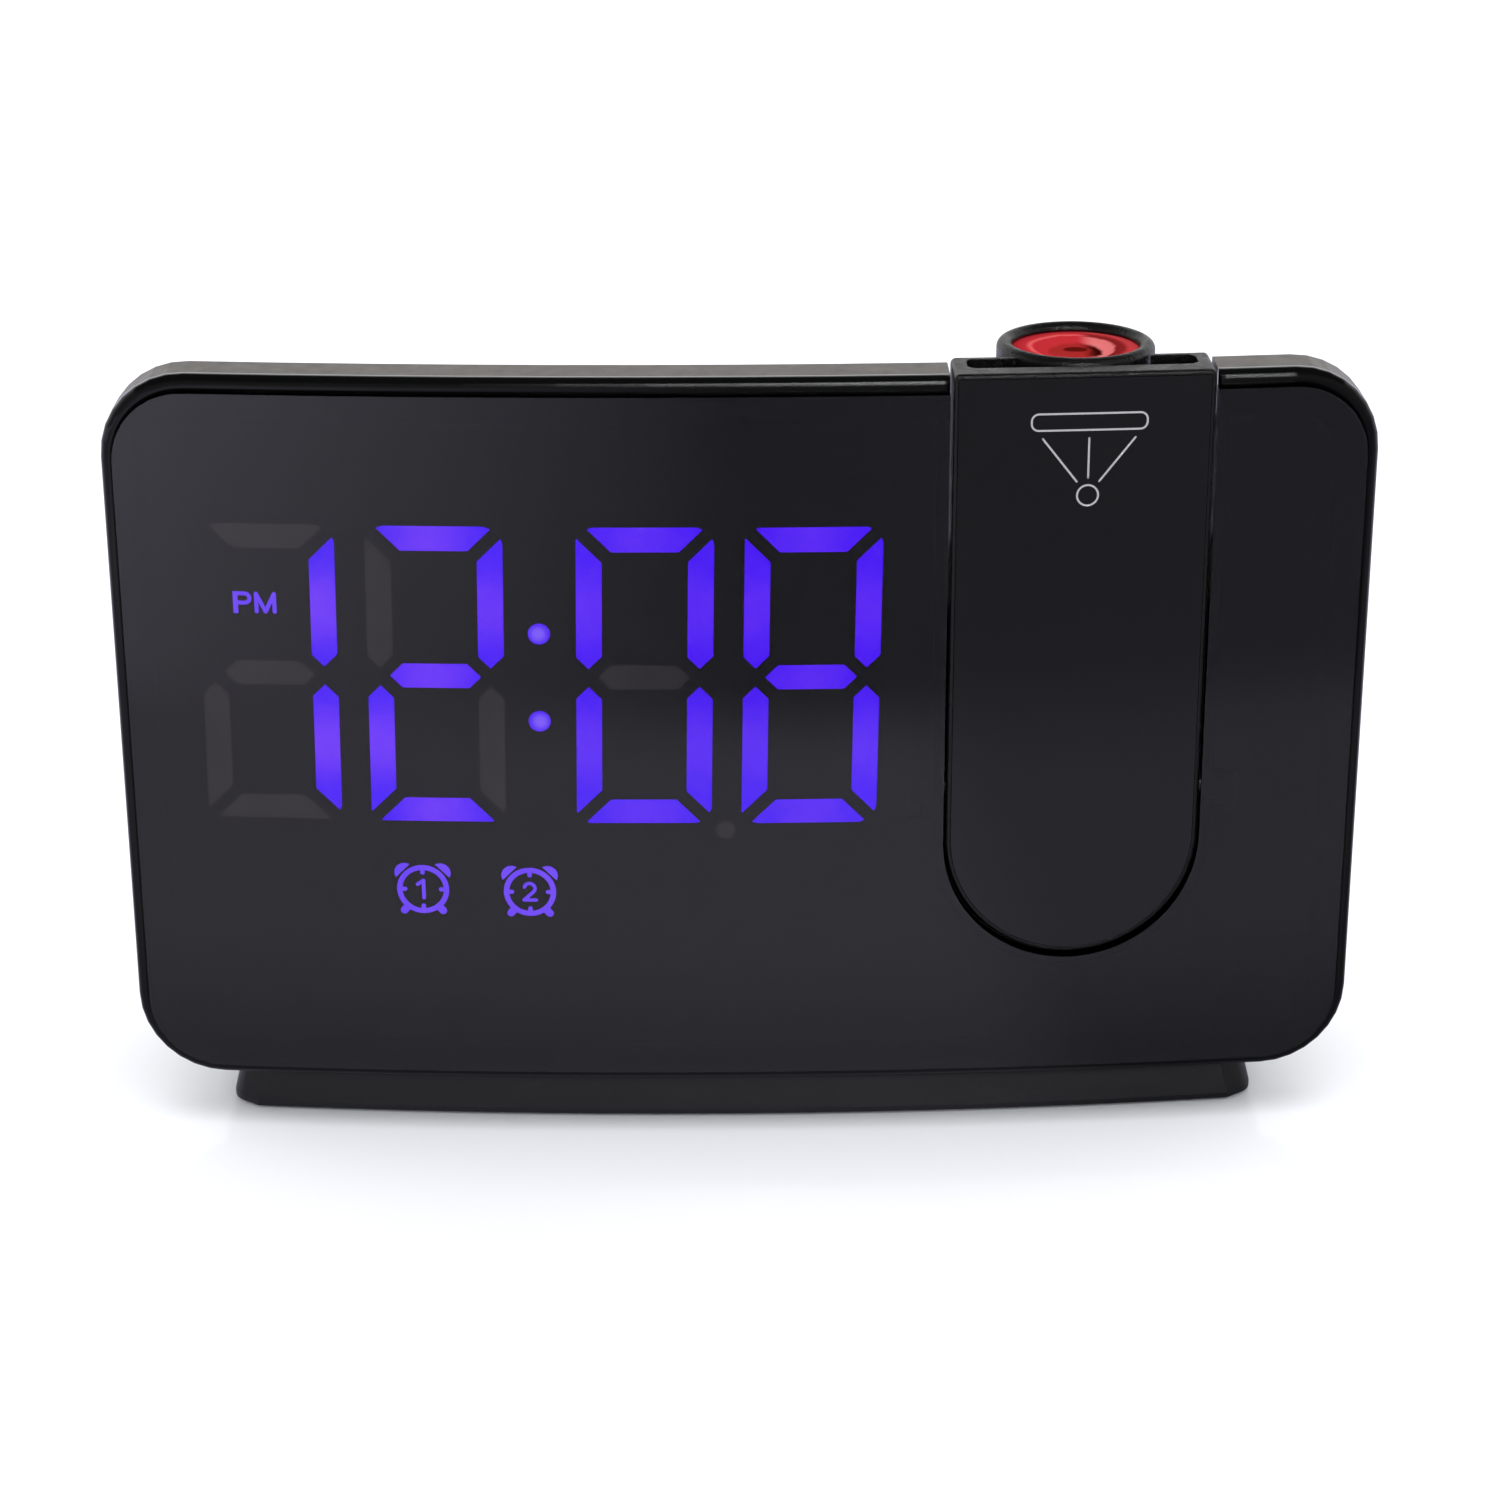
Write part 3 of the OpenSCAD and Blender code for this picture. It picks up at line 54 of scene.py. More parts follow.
def make_camera():
    """The camera, at the place and with the focal length fitted to the clock's outline and digits."""
    data = bpy.data.cameras.new("camera")
    data.sensor_width = SENSOR
    data.lens = FOCAL_PX / FRAME_PX * SENSOR
    data.clip_start = 0.01
    camera = bpy.data.objects.new("camera", data)
    scene.collection.objects.link(camera)
    level = math.cos(CAM_PITCH)
    forward = Vector((math.sin(CAM_YAW) * level, math.cos(CAM_YAW) * level, -math.sin(CAM_PITCH)))
    right = Vector((math.cos(CAM_YAW), -math.sin(CAM_YAW), 0))
    up = right.cross(forward)
    rolled_right = math.cos(CAM_ROLL) * right + math.sin(CAM_ROLL) * up
    rolled_up = -math.sin(CAM_ROLL) * right + math.cos(CAM_ROLL) * up
    turn = Matrix((rolled_right, rolled_up, -forward)).transposed().to_4x4()
    camera.matrix_world = Matrix.Translation(Vector(CAM_AT) * MM) @ turn
    scene.camera = camera


make_camera()

# ---------- materials ----------


def new_material(name):
    """A material with its node tree and its main shader."""
    material = bpy.data.materials.new(name)
    material.use_nodes = True
    tree = material.node_tree
    shader = tree.nodes["Principled BSDF"]
    return material, tree, shader


def noise(tree, scale, detail=4.0, rough=0.55):
    """Noise in the object's own coordinates; scale is in cells a metre."""
    coord = tree.nodes.new("ShaderNodeTexCoord")
    texture = tree.nodes.new("ShaderNodeTexNoise")
    texture.inputs["Scale"].default_value = scale
    texture.inputs["Detail"].default_value = detail
    texture.inputs["Roughness"].default_value = rough
    tree.links.new(coord.outputs["Object"], texture.inputs["Vector"])
    return texture.outputs["Fac"]


def map_range(tree, value, low, high, at_low, at_high, kind="LINEAR"):
    """A change from one value to another between two places."""
    node = tree.nodes.new("ShaderNodeMapRange")
    node.interpolation_type = kind
    node.inputs["From Min"].default_value = at_low
    node.inputs["From Max"].default_value = at_high
    node.inputs["To Min"].default_value = low
    node.inputs["To Max"].default_value = high
    tree.links.new(value, node.inputs["Value"])
    return node.outputs["Result"]


def ramp(tree, value, low, high, at_low=0.3, at_high=0.7):
    """A straight change from one value to another, by default over the middle of a noise."""
    return map_range(tree, value, low, high, at_low, at_high)


def soft_edge(tree, value, low, high, at_low, at_high):
    """A smooth change from one value to another between two places."""
    return map_range(tree, value, low, high, at_low, at_high, "SMOOTHSTEP")


def mix_colour(tree, factor, low, high):
    """low where factor is 0, high where it is 1; each is a colour or another node's output."""
    node = tree.nodes.new("ShaderNodeMix")
    node.data_type = "RGBA"
    for socket, colour in ((node.inputs["A"], low), (node.inputs["B"], high)):
        if isinstance(colour, tuple):
            socket.default_value = (*colour, 1)
        else:
            tree.links.new(colour, socket)
    tree.links.new(factor, node.inputs["Factor"])
    return node.outputs["Result"]


def math_node(tree, operation, first, second=None):
    """A math node; each input is a number or another node's output."""
    node = tree.nodes.new("ShaderNodeMath")
    node.operation = operation
    for socket, value in zip(node.inputs, (first, second)):
        if value is None:
            continue
        if isinstance(value, (int, float)):
            socket.default_value = value
        else:
            tree.links.new(value, socket)
    return node.outputs["Value"]


def position(tree):
    """The x, y and z of the object's own coordinates, in metres."""
    coord = tree.nodes.new("ShaderNodeTexCoord")
    split = tree.nodes.new("ShaderNodeSeparateXYZ")
    tree.links.new(coord.outputs["Object"], split.inputs["Vector"])
    return split.outputs["X"], split.outputs["Y"], split.outputs["Z"]


def distance(tree, across, along):
    """The length of a flat vector."""
    squares = [math_node(tree, "POWER", part, 2.0) for part in (across, along)]
    return math_node(tree, "SQRT", math_node(tree, "ADD", *squares))


def between(tree, value, rise, fall):
    """1 from the end of rise to the start of fall, and 0 outside them."""
    risen = soft_edge(tree, value, 0.0, 1.0, *rise)
    return math_node(tree, "MULTIPLY", risen, soft_edge(tree, value, 1.0, 0.0, *fall))


def bump(tree, shader, height, strength, depth):
    """A grain over whatever normal the shader already has."""
    node = tree.nodes.new("ShaderNodeBump")
    node.inputs["Strength"].default_value = strength
    node.inputs["Distance"].default_value = depth
    tree.links.new(height, node.inputs["Height"])
    for link_in in shader.inputs["Normal"].links:
        tree.links.new(link_in.from_socket, node.inputs["Normal"])
    tree.links.new(node.outputs["Normal"], shader.inputs["Normal"])


def round_edges(tree, shader, radius):
    """Shade the edges as if they were rounded, so that they catch the light."""
    node = tree.nodes.new("ShaderNodeBevel")
    node.samples = 8
    node.inputs["Radius"].default_value = radius
    tree.links.new(node.outputs["Normal"], shader.inputs["Normal"])


MOTTLE = 0.12              # share by which the colour of a moulding varies
GRAIN_DEPTH, BRUSH_DEPTH = 0.0002, 0.00005


def plastic(name, colour, rough, grain=0.0, grain_scale=2500.0, spread=0.15,
            sheen=(1, 1, 1), gloss=0.5, edge=0.0):
    """Moulded plastic: mottled colour, uneven gloss and a moulded grain."""
    material, tree, shader = new_material(name)
    broad = noise(tree, 35.0, 3.0)
    low = tuple(c * (1 - MOTTLE) for c in colour)
    high = tuple(min(1, c * (1 + MOTTLE)) for c in colour)
    tree.links.new(mix_colour(tree, ramp(tree, broad, 0, 1), low, high), shader.inputs["Base Color"])
    fine = noise(tree, 400.0, 6.0, 0.7)
    tree.links.new(ramp(tree, fine, rough * (1 - spread), rough * (1 + spread)), shader.inputs["Roughness"])
    shader.inputs["Specular Tint"].default_value = (*sheen, 1)
    shader.inputs["Specular IOR Level"].default_value = gloss
    if edge:
        round_edges(tree, shader, edge)
    if grain:
        bump(tree, shader, noise(tree, grain_scale, 3.0, 0.6), grain, GRAIN_DEPTH)
    return material


def metal(name, colour, rough, brushed=True):
    """Bare metal, finely brushed or with a broad unevenness."""
    material, tree, shader = new_material(name)
    shader.inputs["Metallic"].default_value = 1.0
    grain = noise(tree, 900.0 if brushed else 120.0, 5.0, 0.6)
    low = tuple(c * 0.85 for c in colour)
    tree.links.new(mix_colour(tree, ramp(tree, grain, 0, 1), low, colour), shader.inputs["Base Color"])
    tree.links.new(ramp(tree, grain, rough * 0.8, rough * 1.25), shader.inputs["Roughness"])
    bump(tree, shader, grain, 0.15, BRUSH_DEPTH)
    return material


# the display in millimetres, as the solids have it
DISPLAY_Z = 72.4                       # middle of the digits
DIGIT_W, DIGIT_H, SEG_W = 20.2, 45.7, 4.2
DIGIT_LEFT, DIGIT_PITCH = -78.4, 24.05
COLON_AT, COLON_SPACE, COLON_RISE = -29.2, 6.05, 6.7
LEAN = math.tan(math.radians(0.9))
LAMP_ASIDE = (DIGIT_W - SEG_W) / 2     # middles of the segments from the middle of the digit
LAMP_ABOVE = (DIGIT_H - SEG_W) / 2
LAMP_NEAR, LAMP_FAR = 1.0, 8.5         # where a lamp's light begins to fall and where it ends


def lamp_glow(tree):
    """1 over the lamp of each segment, falling to 0 at its ends."""
    x, _, z = position(tree)
    past_colon = math_node(tree, "GREATER_THAN", x, COLON_AT * MM)
    past_colon = math_node(tree, "MULTIPLY", past_colon, COLON_SPACE * MM)
    along = math_node(tree, "SUBTRACT", x, past_colon)
    along = math_node(tree, "SUBTRACT", along, (DIGIT_LEFT + DIGIT_W / 2) * MM)
    across = math_node(tree, "PINGPONG", along, DIGIT_PITCH / 2 * MM)
    up = math_node(tree, "ABSOLUTE", math_node(tree, "SUBTRACT", z, DISPLAY_Z * MM))
    best = None
    for lamp_x, lamp_z in ((0, 0), (0, LAMP_ABOVE), (LAMP_ASIDE, LAMP_ABOVE / 2)):
        side = math_node(tree, "SUBTRACT", across, lamp_x * MM)
        rise = math_node(tree, "SUBTRACT", up, lamp_z * MM)
        far = distance(tree, side, rise)
        best = far if best is None else math_node(tree, "MINIMUM", best, far)
    return soft_edge(tree, best, 1.0, 0.0, LAMP_NEAR * MM, LAMP_FAR * MM)


LIT_STRENGTH, LIT_BASE = 7.1, (0.02, 0.02, 0.03)
FADE_FROM, FADE_TO = -65.0, -10.0      # the lamps' patches grow fainter from left to right


def glowing(name, inner, outer, strength, base, lamps=False):
    """Glowing plastic, brighter over its lamps, with a faint grain; the unlit segments use it for a faint
    painted glow that stands in for room light.
    """
    material, tree, shader = new_material(name)
    shader.inputs["Base Color"].default_value = (*base, 1)
    shader.inputs["Roughness"].default_value = 0.4
    grain = ramp(tree, noise(tree, 900.0, 2.0), -0.12, 0.12)
    if lamps:
        fade = soft_edge(tree, position(tree)[0], 1.0, 0.4, FADE_FROM * MM, FADE_TO * MM)
        patch = math_node(tree, "ADD", math_node(tree, "MULTIPLY", lamp_glow(tree), fade), grain)
    else:
        patch = ramp(tree, noise(tree, 160.0, 1.0), 0, 1, 0.35, 0.65)
    tree.links.new(mix_colour(tree, patch, outer, inner), shader.inputs["Emission Color"])
    shader.inputs["Emission Strength"].default_value = strength
    return material


ACRYLIC_IOR, POLISH = 1.49, 0.01


def clear(name, colour, rough):
    """Clear or tinted acrylic with a faint unevenness of its polish."""
    material, tree, shader = new_material(name)
    shader.inputs["Transmission Weight"].default_value = 1.0
    shader.inputs["IOR"].default_value = ACRYLIC_IOR
    low = tuple(c * 0.94 for c in colour)
    tint = mix_colour(tree, ramp(tree, noise(tree, 20.0), 0, 1), low, colour)
    tree.links.new(tint, shader.inputs["Base Color"])
    tree.links.new(ramp(tree, noise(tree, 300.0), rough, rough + POLISH), shader.inputs["Roughness"])
    return material


WINDOW_X, WINDOW_Y = 48.3, -5.2        # middle of the window, in millimetres
REFLECTION_SIDE_CHANGE = (0.6, 3.2)               # where the painted reflections of its left half give way to those of its right half
CM_IN_METRE = 100.0
# painted reflections of the two halves, in rings: centimetres from the middle, and colour
WINDOW_LEFT_PAINTED = (
    (0.15, (0.075, 0.004, 0.003)), (0.20, (0.25, 0.015, 0.014)), (0.36, (0.27, 0.016, 0.017)),
    (0.41, (0.38, 0.020, 0.026)), (0.58, (0.36, 0.018, 0.026)), (0.64, (0.54, 0.080, 0.082)),
    (0.71, (0.35, 0.019, 0.025)), (0.84, (0.30, 0.014, 0.021)),
)
WINDOW_RIGHT_PAINTED = (
    (0.15, (0.075, 0.004, 0.003)), (0.20, (0.15, 0.009, 0.008)), (0.25, (0.03, 0.002, 0.001)),
    (0.37, (0.03, 0.001, 0.001)), (0.42, (0.54, 0.130, 0.132)), (0.55, (0.50, 0.115, 0.118)),
    (0.60, (0.15, 0.009, 0.009)), (0.71, (0.17, 0.010, 0.011)), (0.79, (0.37, 0.032, 0.036)),
)


def bands(tree, value, stops):
    """A colour that runs through (place, colour) stops."""
    node = tree.nodes.new("ShaderNodeValToRGB")
    line = node.color_ramp.elements
    while len(line) < len(stops):
        line.new(0.5)
    for element, (place, colour) in zip(line, stops):
        element.position = place
        element.color = (*colour, 1)
    tree.links.new(value, node.inputs["Fac"])
    return node.outputs["Color"]


def red_window_painted_reflections(name):
    """Red moulded window: a dark middle where the tube shows, and pale and dark rings painted into its colour as
    reflections of the lamps, brightest on its right half.
    """
    material, tree, shader = new_material(name)
    x, y, _ = position(tree)
    across = math_node(tree, "SUBTRACT", x, WINDOW_X * MM)
    along = math_node(tree, "SUBTRACT", y, WINDOW_Y * MM)
    grain = noise(tree, 500.0, 3.0)
    reach = math_node(tree, "MULTIPLY", distance(tree, across, along), CM_IN_METRE)
    reach = math_node(tree, "ADD", reach, ramp(tree, grain, -0.02, 0.02))
    side = soft_edge(tree, across, 0.0, 1.0, *(place * MM for place in REFLECTION_SIDE_CHANGE))
    colour = mix_colour(tree, side, bands(tree, reach, WINDOW_LEFT_PAINTED), bands(tree, reach, WINDOW_RIGHT_PAINTED))
    tree.links.new(colour, shader.inputs["Base Color"])
    tree.links.new(ramp(tree, grain, 0.10, 0.16), shader.inputs["Roughness"])
    # no reflection of its own: the painted reflections in its colour stand in for it
    shader.inputs["Specular IOR Level"].default_value = 0.0
    return material


LOOKS = {
    "bezel": plastic("gloss_black", (0.0016, 0.0017, 0.0017), 0.03, spread=0.5, gloss=0.25, edge=0.0011),
    "lens": clear("tinted_lens", (0.13, 0.125, 0.14), 0.015),
    "mask": plastic("mask_black", (0.002, 0.002, 0.002), 0.7),
    "lit": glowing("lit_segment", (0.175, 0.036, 1.0), (0.066, 0.0, 0.99), LIT_STRENGTH, LIT_BASE, True),
    "symbol": glowing("lit_symbol", (0.19, 0.07, 0.98), (0.15, 0.05, 0.96), LIT_STRENGTH, LIT_BASE),
    # the unlit segments glow faintly: painted light standing in for the room light that reaches them through the
    # tinted lens
    "unlit": glowing("unlit_segment_painted_glow", (0.142, 0.126, 0.122), (0.122, 0.106, 0.104), 1.0, (0.03, 0.03, 0.03)),
    "light_box": plastic("white_reflector", (0.6, 0.6, 0.58), 0.5, 0.05),
    "board": plastic("solder_mask", (0.01, 0.10, 0.03), 0.3, 0.1, 900.0),
    "lamp": plastic("lamp_resin", (0.8, 0.8, 0.7), 0.2),
    "housing": plastic("satin_housing", (0.030, 0.024, 0.018), 0.34, 0.10, 3500.0, sheen=(1.0, 0.88, 0.82)),
    "well": plastic("lining", (0.003, 0.003, 0.003), 0.45, 0.15, 3000.0),
    "stand": plastic("stand_black", (0.003, 0.003, 0.0034), 0.34, 0.08, 3500.0),
    "rubber": plastic("foot_rubber", (0.012, 0.012, 0.012), 0.8, 0.3, 1500.0),
    "steel": metal("zinc_steel", (0.55, 0.54, 0.52), 0.35),
    "cell": metal("cell_steel", (0.7, 0.7, 0.68), 0.2, False),
    "clip": metal("nickel_clip", (0.7, 0.66, 0.58), 0.3),
    "chips": plastic("chip_resin", (0.010, 0.010, 0.010), 0.5, 0.2),
    "inlet": plastic("inlet_plastic", (0.010, 0.010, 0.010), 0.4, 0.05),
    "pin": metal("pin_nickel", (0.75, 0.74, 0.7), 0.15, False),
    "basket": metal("basket_steel", (0.45, 0.45, 0.44), 0.4),
    "cone": plastic("cone_paper", (0.015, 0.015, 0.015), 0.9, 0.5, 1500.0),
    "magnet": plastic("ferrite", (0.03, 0.03, 0.032), 0.55, 0.2, 800.0),
    "keys": plastic("key_plastic", (0.014, 0.014, 0.014), 0.4, 0.12, 3500.0),
    "arm": plastic("textured_black", (0.003, 0.003, 0.003), 0.34, 0.7, 2000.0, 0.35, gloss=0.35, edge=0.0002),
    "cover": plastic("satin_cover", (0.0036, 0.0036, 0.0040), 0.16),
    # the red window's rings are painted reflections
    "window": red_window_painted_reflections("red_window_painted_reflections"),
    "optic": clear("clear_optic", (0.95, 0.97, 1.0), 0.01),
    "print": plastic("printed_ink", (0.40, 0.40, 0.41), 0.6, 0.1, 4000.0),
}

slot_of = {part["node"]: part["material_slot"] for part in frame["record"]["subparts"]}
for name, obj in nodes.items():
    obj.data.materials.clear()
    obj.data.materials.append(LOOKS[slot_of[name]])

# ---------- studio ----------


def link(name, mesh):
    """An object of this mesh, put in the scene."""
    obj = bpy.data.objects.new(name, mesh)
    scene.collection.objects.link(obj)
    return obj


# the studio in metres
FLOOR_HALF = 6.0
CARD_Z = -0.002          # the reflected card lies just under the floor
ROOM_LIGHT, SOFTBOX_WATTS = 1.25, 10
SOFTBOX_W, SOFTBOX_D = 1.6, 1.2
SOFTBOX_AT, SOFTBOX_TO = (0.0, -0.3, 1.5), (0.0, -0.1, 0.05)


def flat_square(name, z):
    """A level square round the middle, as large as the floor."""
    mesh = bpy.data.meshes.new(name)
    corners = [(x * FLOOR_HALF, y * FLOOR_HALF, 0) for x, y in ((-1, -1), (1, -1), (1, 1), (-1, 1))]
    mesh.from_pydata(corners, [], [(0, 1, 2, 3)])
    obj = link(name, mesh)
    obj.location = (0, 0, z)
    return obj


def make_floor():
    """A pale, faintly uneven floor."""
    floor = flat_square("floor", 0)
    material, tree, shader = new_material("pale_floor")
    tone = mix_colour(tree, noise(tree, 3.0), (0.88, 0.90, 0.95), (0.90, 0.92, 0.96))
    tree.links.new(tone, shader.inputs["Base Color"])
    shader.inputs["Roughness"].default_value = 0.12
    shader.inputs["IOR"].default_value = 1.45
    floor.data.materials.append(material)
    floor.visible_glossy = False


def make_lights():
    """An even white room and one soft box overhead, neither of them mirrored in the clock."""
    world = bpy.data.worlds.new("studio")
    scene.world = world
    world.use_nodes = True
    background = world.node_tree.nodes["Background"]
    background.inputs["Color"].default_value = (1.0, 1.0, 1.0, 1)
    background.inputs["Strength"].default_value = ROOM_LIGHT
    data = bpy.data.lights.new("top_softbox", "AREA")
    data.shape = "RECTANGLE"
    data.size, data.size_y = SOFTBOX_W, SOFTBOX_D
    data.energy = SOFTBOX_WATTS
    light = bpy.data.objects.new("top_softbox", data)
    scene.collection.objects.link(light)
    light.location = SOFTBOX_AT
    aim = Vector(SOFTBOX_TO) - Vector(SOFTBOX_AT)
    light.rotation_euler = aim.to_track_quat("-Z", "Y").to_euler()
    light.visible_camera = False
    light.visible_glossy = False


make_floor()
make_lights()


def card_material(name, colour):
    """A glowing card seen only in reflections; its strength is left to be linked."""
    material = bpy.data.materials.new(name)
    material.use_nodes = True
    material.cycles.emission_sampling = "NONE"
    tree = material.node_tree
    tree.nodes.remove(tree.nodes["Principled BSDF"])
    emission = tree.nodes.new("ShaderNodeEmission")
    emission.inputs["Color"].default_value = (*colour, 1)
    tree.links.new(emission.outputs["Emission"], tree.nodes["Material Output"].inputs["Surface"])
    return material, tree, emission


def only_reflected(card):
    """Hide a card from everything but reflections."""
    card.visible_camera = False
    card.visible_diffuse = False
    card.visible_shadow = False
    card.visible_transmission = False


def mix_value(tree, factor, low, high):
    """low where factor is 0, high where it is 1."""
    change = math_node(tree, "SUBTRACT", high, low)
    return math_node(tree, "ADD", math_node(tree, "MULTIPLY", change, factor), low)


# where the reflected ground changes, in metres: ahead of the clock, behind its middle, to its left and right
TABLE_AHEAD, ROOM_AHEAD = (0.0, 0.078), (0.150, 0.205)
BEHIND = (-0.02, 0.06)
ROOM_LEFT, ROOM_RIGHT, TABLE_RIGHT = (-0.36, -0.25), (0.03, 0.08), (0.038, 0.066)
LEFT_SLOPE = -3.8        # brightness of the window to the left, a metre from the middle
WALL_LIGHT = 0.9


def ground_card():
    """What the front reflects: a bright table close by, a dark room beyond it and a window to the left."""
    card = flat_square("ground_card", CARD_Z)
    material, tree, emission = card_material("ground_card", (0.99, 0.95, 1.16))
    x, y, _ = position(tree)
    ahead = math_node(tree, "SUBTRACT", -DEPTH / 2 * MM, y)
    table = soft_edge(tree, ahead, 0.34, 0.62, *TABLE_AHEAD)
    table = math_node(tree, "SUBTRACT", table, soft_edge(tree, x, 0.0, 0.19, *TABLE_RIGHT))
    left = math_node(tree, "MAXIMUM", math_node(tree, "MULTIPLY", x, LEFT_SLOPE), 0.0)
    room = math_node(tree, "ADD", left, soft_edge(tree, x, 0.19, 0.21, *ROOM_RIGHT))
    room = math_node(tree, "MULTIPLY", room, soft_edge(tree, x, 0.2, 1.0, *ROOM_LEFT))
    front = mix_value(tree, soft_edge(tree, ahead, 0.0, 1.0, *ROOM_AHEAD), table, room)
    behind = soft_edge(tree, y, 0.0, 1.0, *BEHIND)
    tree.links.new(mix_value(tree, behind, front, WALL_LIGHT), emission.inputs["Strength"])
    card.data.materials.append(material)
    only_reflected(card)


DOME_R = 5.0
WALL_TOP = (0.44, 0.60)                                 # heights are shares of the radius
TUBE_LOW, TUBE_HIGH = (0.475, 0.49), (0.525, 0.54)      # lower and upper edge of the lamp ahead
TUBE_LEFT, TUBE_RIGHT = (-0.20, 0.16), (0.40, 0.46)     # its ends, as slopes from straight ahead
TUBE_LIGHT, DIM_LIGHT = 60.0, 0.06


def sky_dome():
    """What tops and sides reflect: a white wall low behind, a dark ceiling and a thin lamp ahead."""
    mesh = bmesh.new()
    bmesh.ops.create_uvsphere(mesh, u_segments=64, v_segments=48, radius=DOME_R)
    data = bpy.data.meshes.new("sky_dome")
    mesh.to_mesh(data)
    mesh.free()
    dome = link("sky_dome", data)
    material, tree, emission = card_material("sky_dome", (1.0, 1.0, 1.0))
    x, y, z = position(tree)
    height = math_node(tree, "DIVIDE", z, DOME_R)
    wall = soft_edge(tree, height, 1.0, 0.0, *WALL_TOP)
    back = soft_edge(tree, y, 0.25, 1.0, -1.0, 1.5)
    forward = math_node(tree, "MAXIMUM", math_node(tree, "MULTIPLY", y, -1.0), 0.1)
    aside = math_node(tree, "DIVIDE", x, forward)
    ahead = between(tree, aside, TUBE_LEFT, TUBE_RIGHT)
    ahead = math_node(tree, "MULTIPLY", ahead, soft_edge(tree, y, 1.0, 0.0, -1.5, -1.0))
    lamp = math_node(tree, "MULTIPLY", between(tree, height, TUBE_LOW, TUBE_HIGH), ahead)
    light = math_node(tree, "ADD", math_node(tree, "MULTIPLY", wall, back), DIM_LIGHT)
    light = math_node(tree, "ADD", light, math_node(tree, "MULTIPLY", lamp, TUBE_LIGHT))
    tree.links.new(light, emission.inputs["Strength"])
    data.materials.append(material)
    only_reflected(dome)


ground_card()
sky_dome()

# ---------- display symbols ----------

# outlines are drawn in millimetres, x across and z up, as the solids have them
SYMBOL_V = 2.36          # depth of the lit symbols behind the lens face, in the gap behind the lens
LONGEST = 2.0            # longest straight step along the curved face
SYMBOL_SIZE = 9.0


def on_face(x, z, v):
    """Point behind the curved lens face, from face millimetres to metres."""
    return Vector((x, FACE_R - math.sqrt((FACE_R - v) ** 2 - x * x) - DEPTH / 2, z)) * MM


def flat_piece(name, outlines, place, look, body="clock"):
    """Thin printed shape from closed outlines of (x, z) millimetres, laid where place puts each point."""
    mesh = bmesh.new()
    for outline in outlines:
        face = [mesh.verts.new(place(x, z)) for x, z in outline]
        mesh.faces.new(face)
    data = bpy.data.meshes.new(name)
    bmesh.ops.recalc_face_normals(mesh, faces=mesh.faces)
    mesh.to_mesh(data)
    mesh.free()
    data.materials.append(look)
    obj = link(name, data)
    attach(obj, body)
    return obj


def behind_lens(x, z):
    """Point in the gap between the lens and the display."""
    return on_face(x, z, SYMBOL_V)


def stroke(points, width, closed=False, round_ends=True):
    """Outline quads of a line of constant width, short enough to follow the curved face."""
    half = width / 2
    out = []
    count = len(points)
    for i in range(count if closed else count - 1):
        start, stop = Vector(points[i]), Vector(points[(i + 1) % count])
        side = (stop - start).normalized()
        side = Vector((-side.y, side.x)) * half
        steps = max(1, math.ceil((stop - start).length / LONGEST))
        for k in range(steps):
            a, b = start.lerp(stop, k / steps), start.lerp(stop, (k + 1) / steps)
            out.append([tuple(a + side), tuple(a - side), tuple(b - side), tuple(b + side)])
    if round_ends:
        out += [disc(x, z, half, 16) for x, z in points]
    return out


def polar(cx, cz, r, degrees):
    """Point at a distance and angle from a centre."""
    return cx + r * math.cos(math.radians(degrees)), cz + r * math.sin(math.radians(degrees))


def arc(cx, cz, r, start, stop, steps=28):
    """Points of a circle's arc, both ends included."""
    return [polar(cx, cz, r, start + (stop - start) * k / steps) for k in range(steps + 1)]


def disc(cx, cz, r, corners):
    """Outline of a round dot."""
    return [polar(cx, cz, r, 360 * k / corners) for k in range(corners)]


def ring(cx, cz, inner, outer, steps=48):
    """Quads of a flat ring."""
    out = []
    for k in range(steps):
        a, b = 360 * k / steps, 360 * (k + 1) / steps
        corners = ((inner, a), (outer, a), (outer, b), (inner, b))
        out.append([polar(cx, cz, r, degrees) for r, degrees in corners])
    return out


def twin_bell(cx, cz, size, digit):
    """Outlines of a twin-bell clock with a number: ring, four marks, two bells and two feet."""
    u = size / 10.0
    shapes = ring(cx, cz, 3.4 * u, 4.3 * u)
    for turn in (0, 90, 180, 270):
        shapes += stroke([polar(cx, cz, 3.5 * u, turn), polar(cx, cz, 2.95 * u, turn)], 0.75 * u)
    for side in (-1, 1):
        mid = 90 - side * 45
        shapes.append(arc(*polar(cx, cz, 4.15 * u, mid), 1.7 * u, mid - 75, mid + 75, 14))
        foot = 270 + side * 40
        shapes += stroke([polar(cx, cz, 4.0 * u, foot), polar(cx, cz, 4.95 * u, foot)], 1.3 * u)
    if digit == 1:
        flag = (cx - 0.9 * u, cz + 0.85 * u)
        shapes += stroke([(cx + 0.1 * u, cz - 1.55 * u), (cx + 0.1 * u, cz + 1.55 * u), flag], 0.62 * u)
    else:
        curve = arc(cx - 0.05 * u, cz + 0.62 * u, 0.88 * u, 165, -35, 12)
        shapes += stroke(curve + [(cx - 1.0 * u, cz - 1.45 * u), (cx + 1.0 * u, cz - 1.45 * u)], 0.6 * u)
    return shapes


flat_piece("alarm_symbol_1", twin_bell(-47.2, 38.99, SYMBOL_SIZE, 1), behind_lens, LOOKS["symbol"])
flat_piece("alarm_symbol_2", twin_bell(-31.4, 38.74, SYMBOL_SIZE, 2), behind_lens, LOOKS["symbol"])


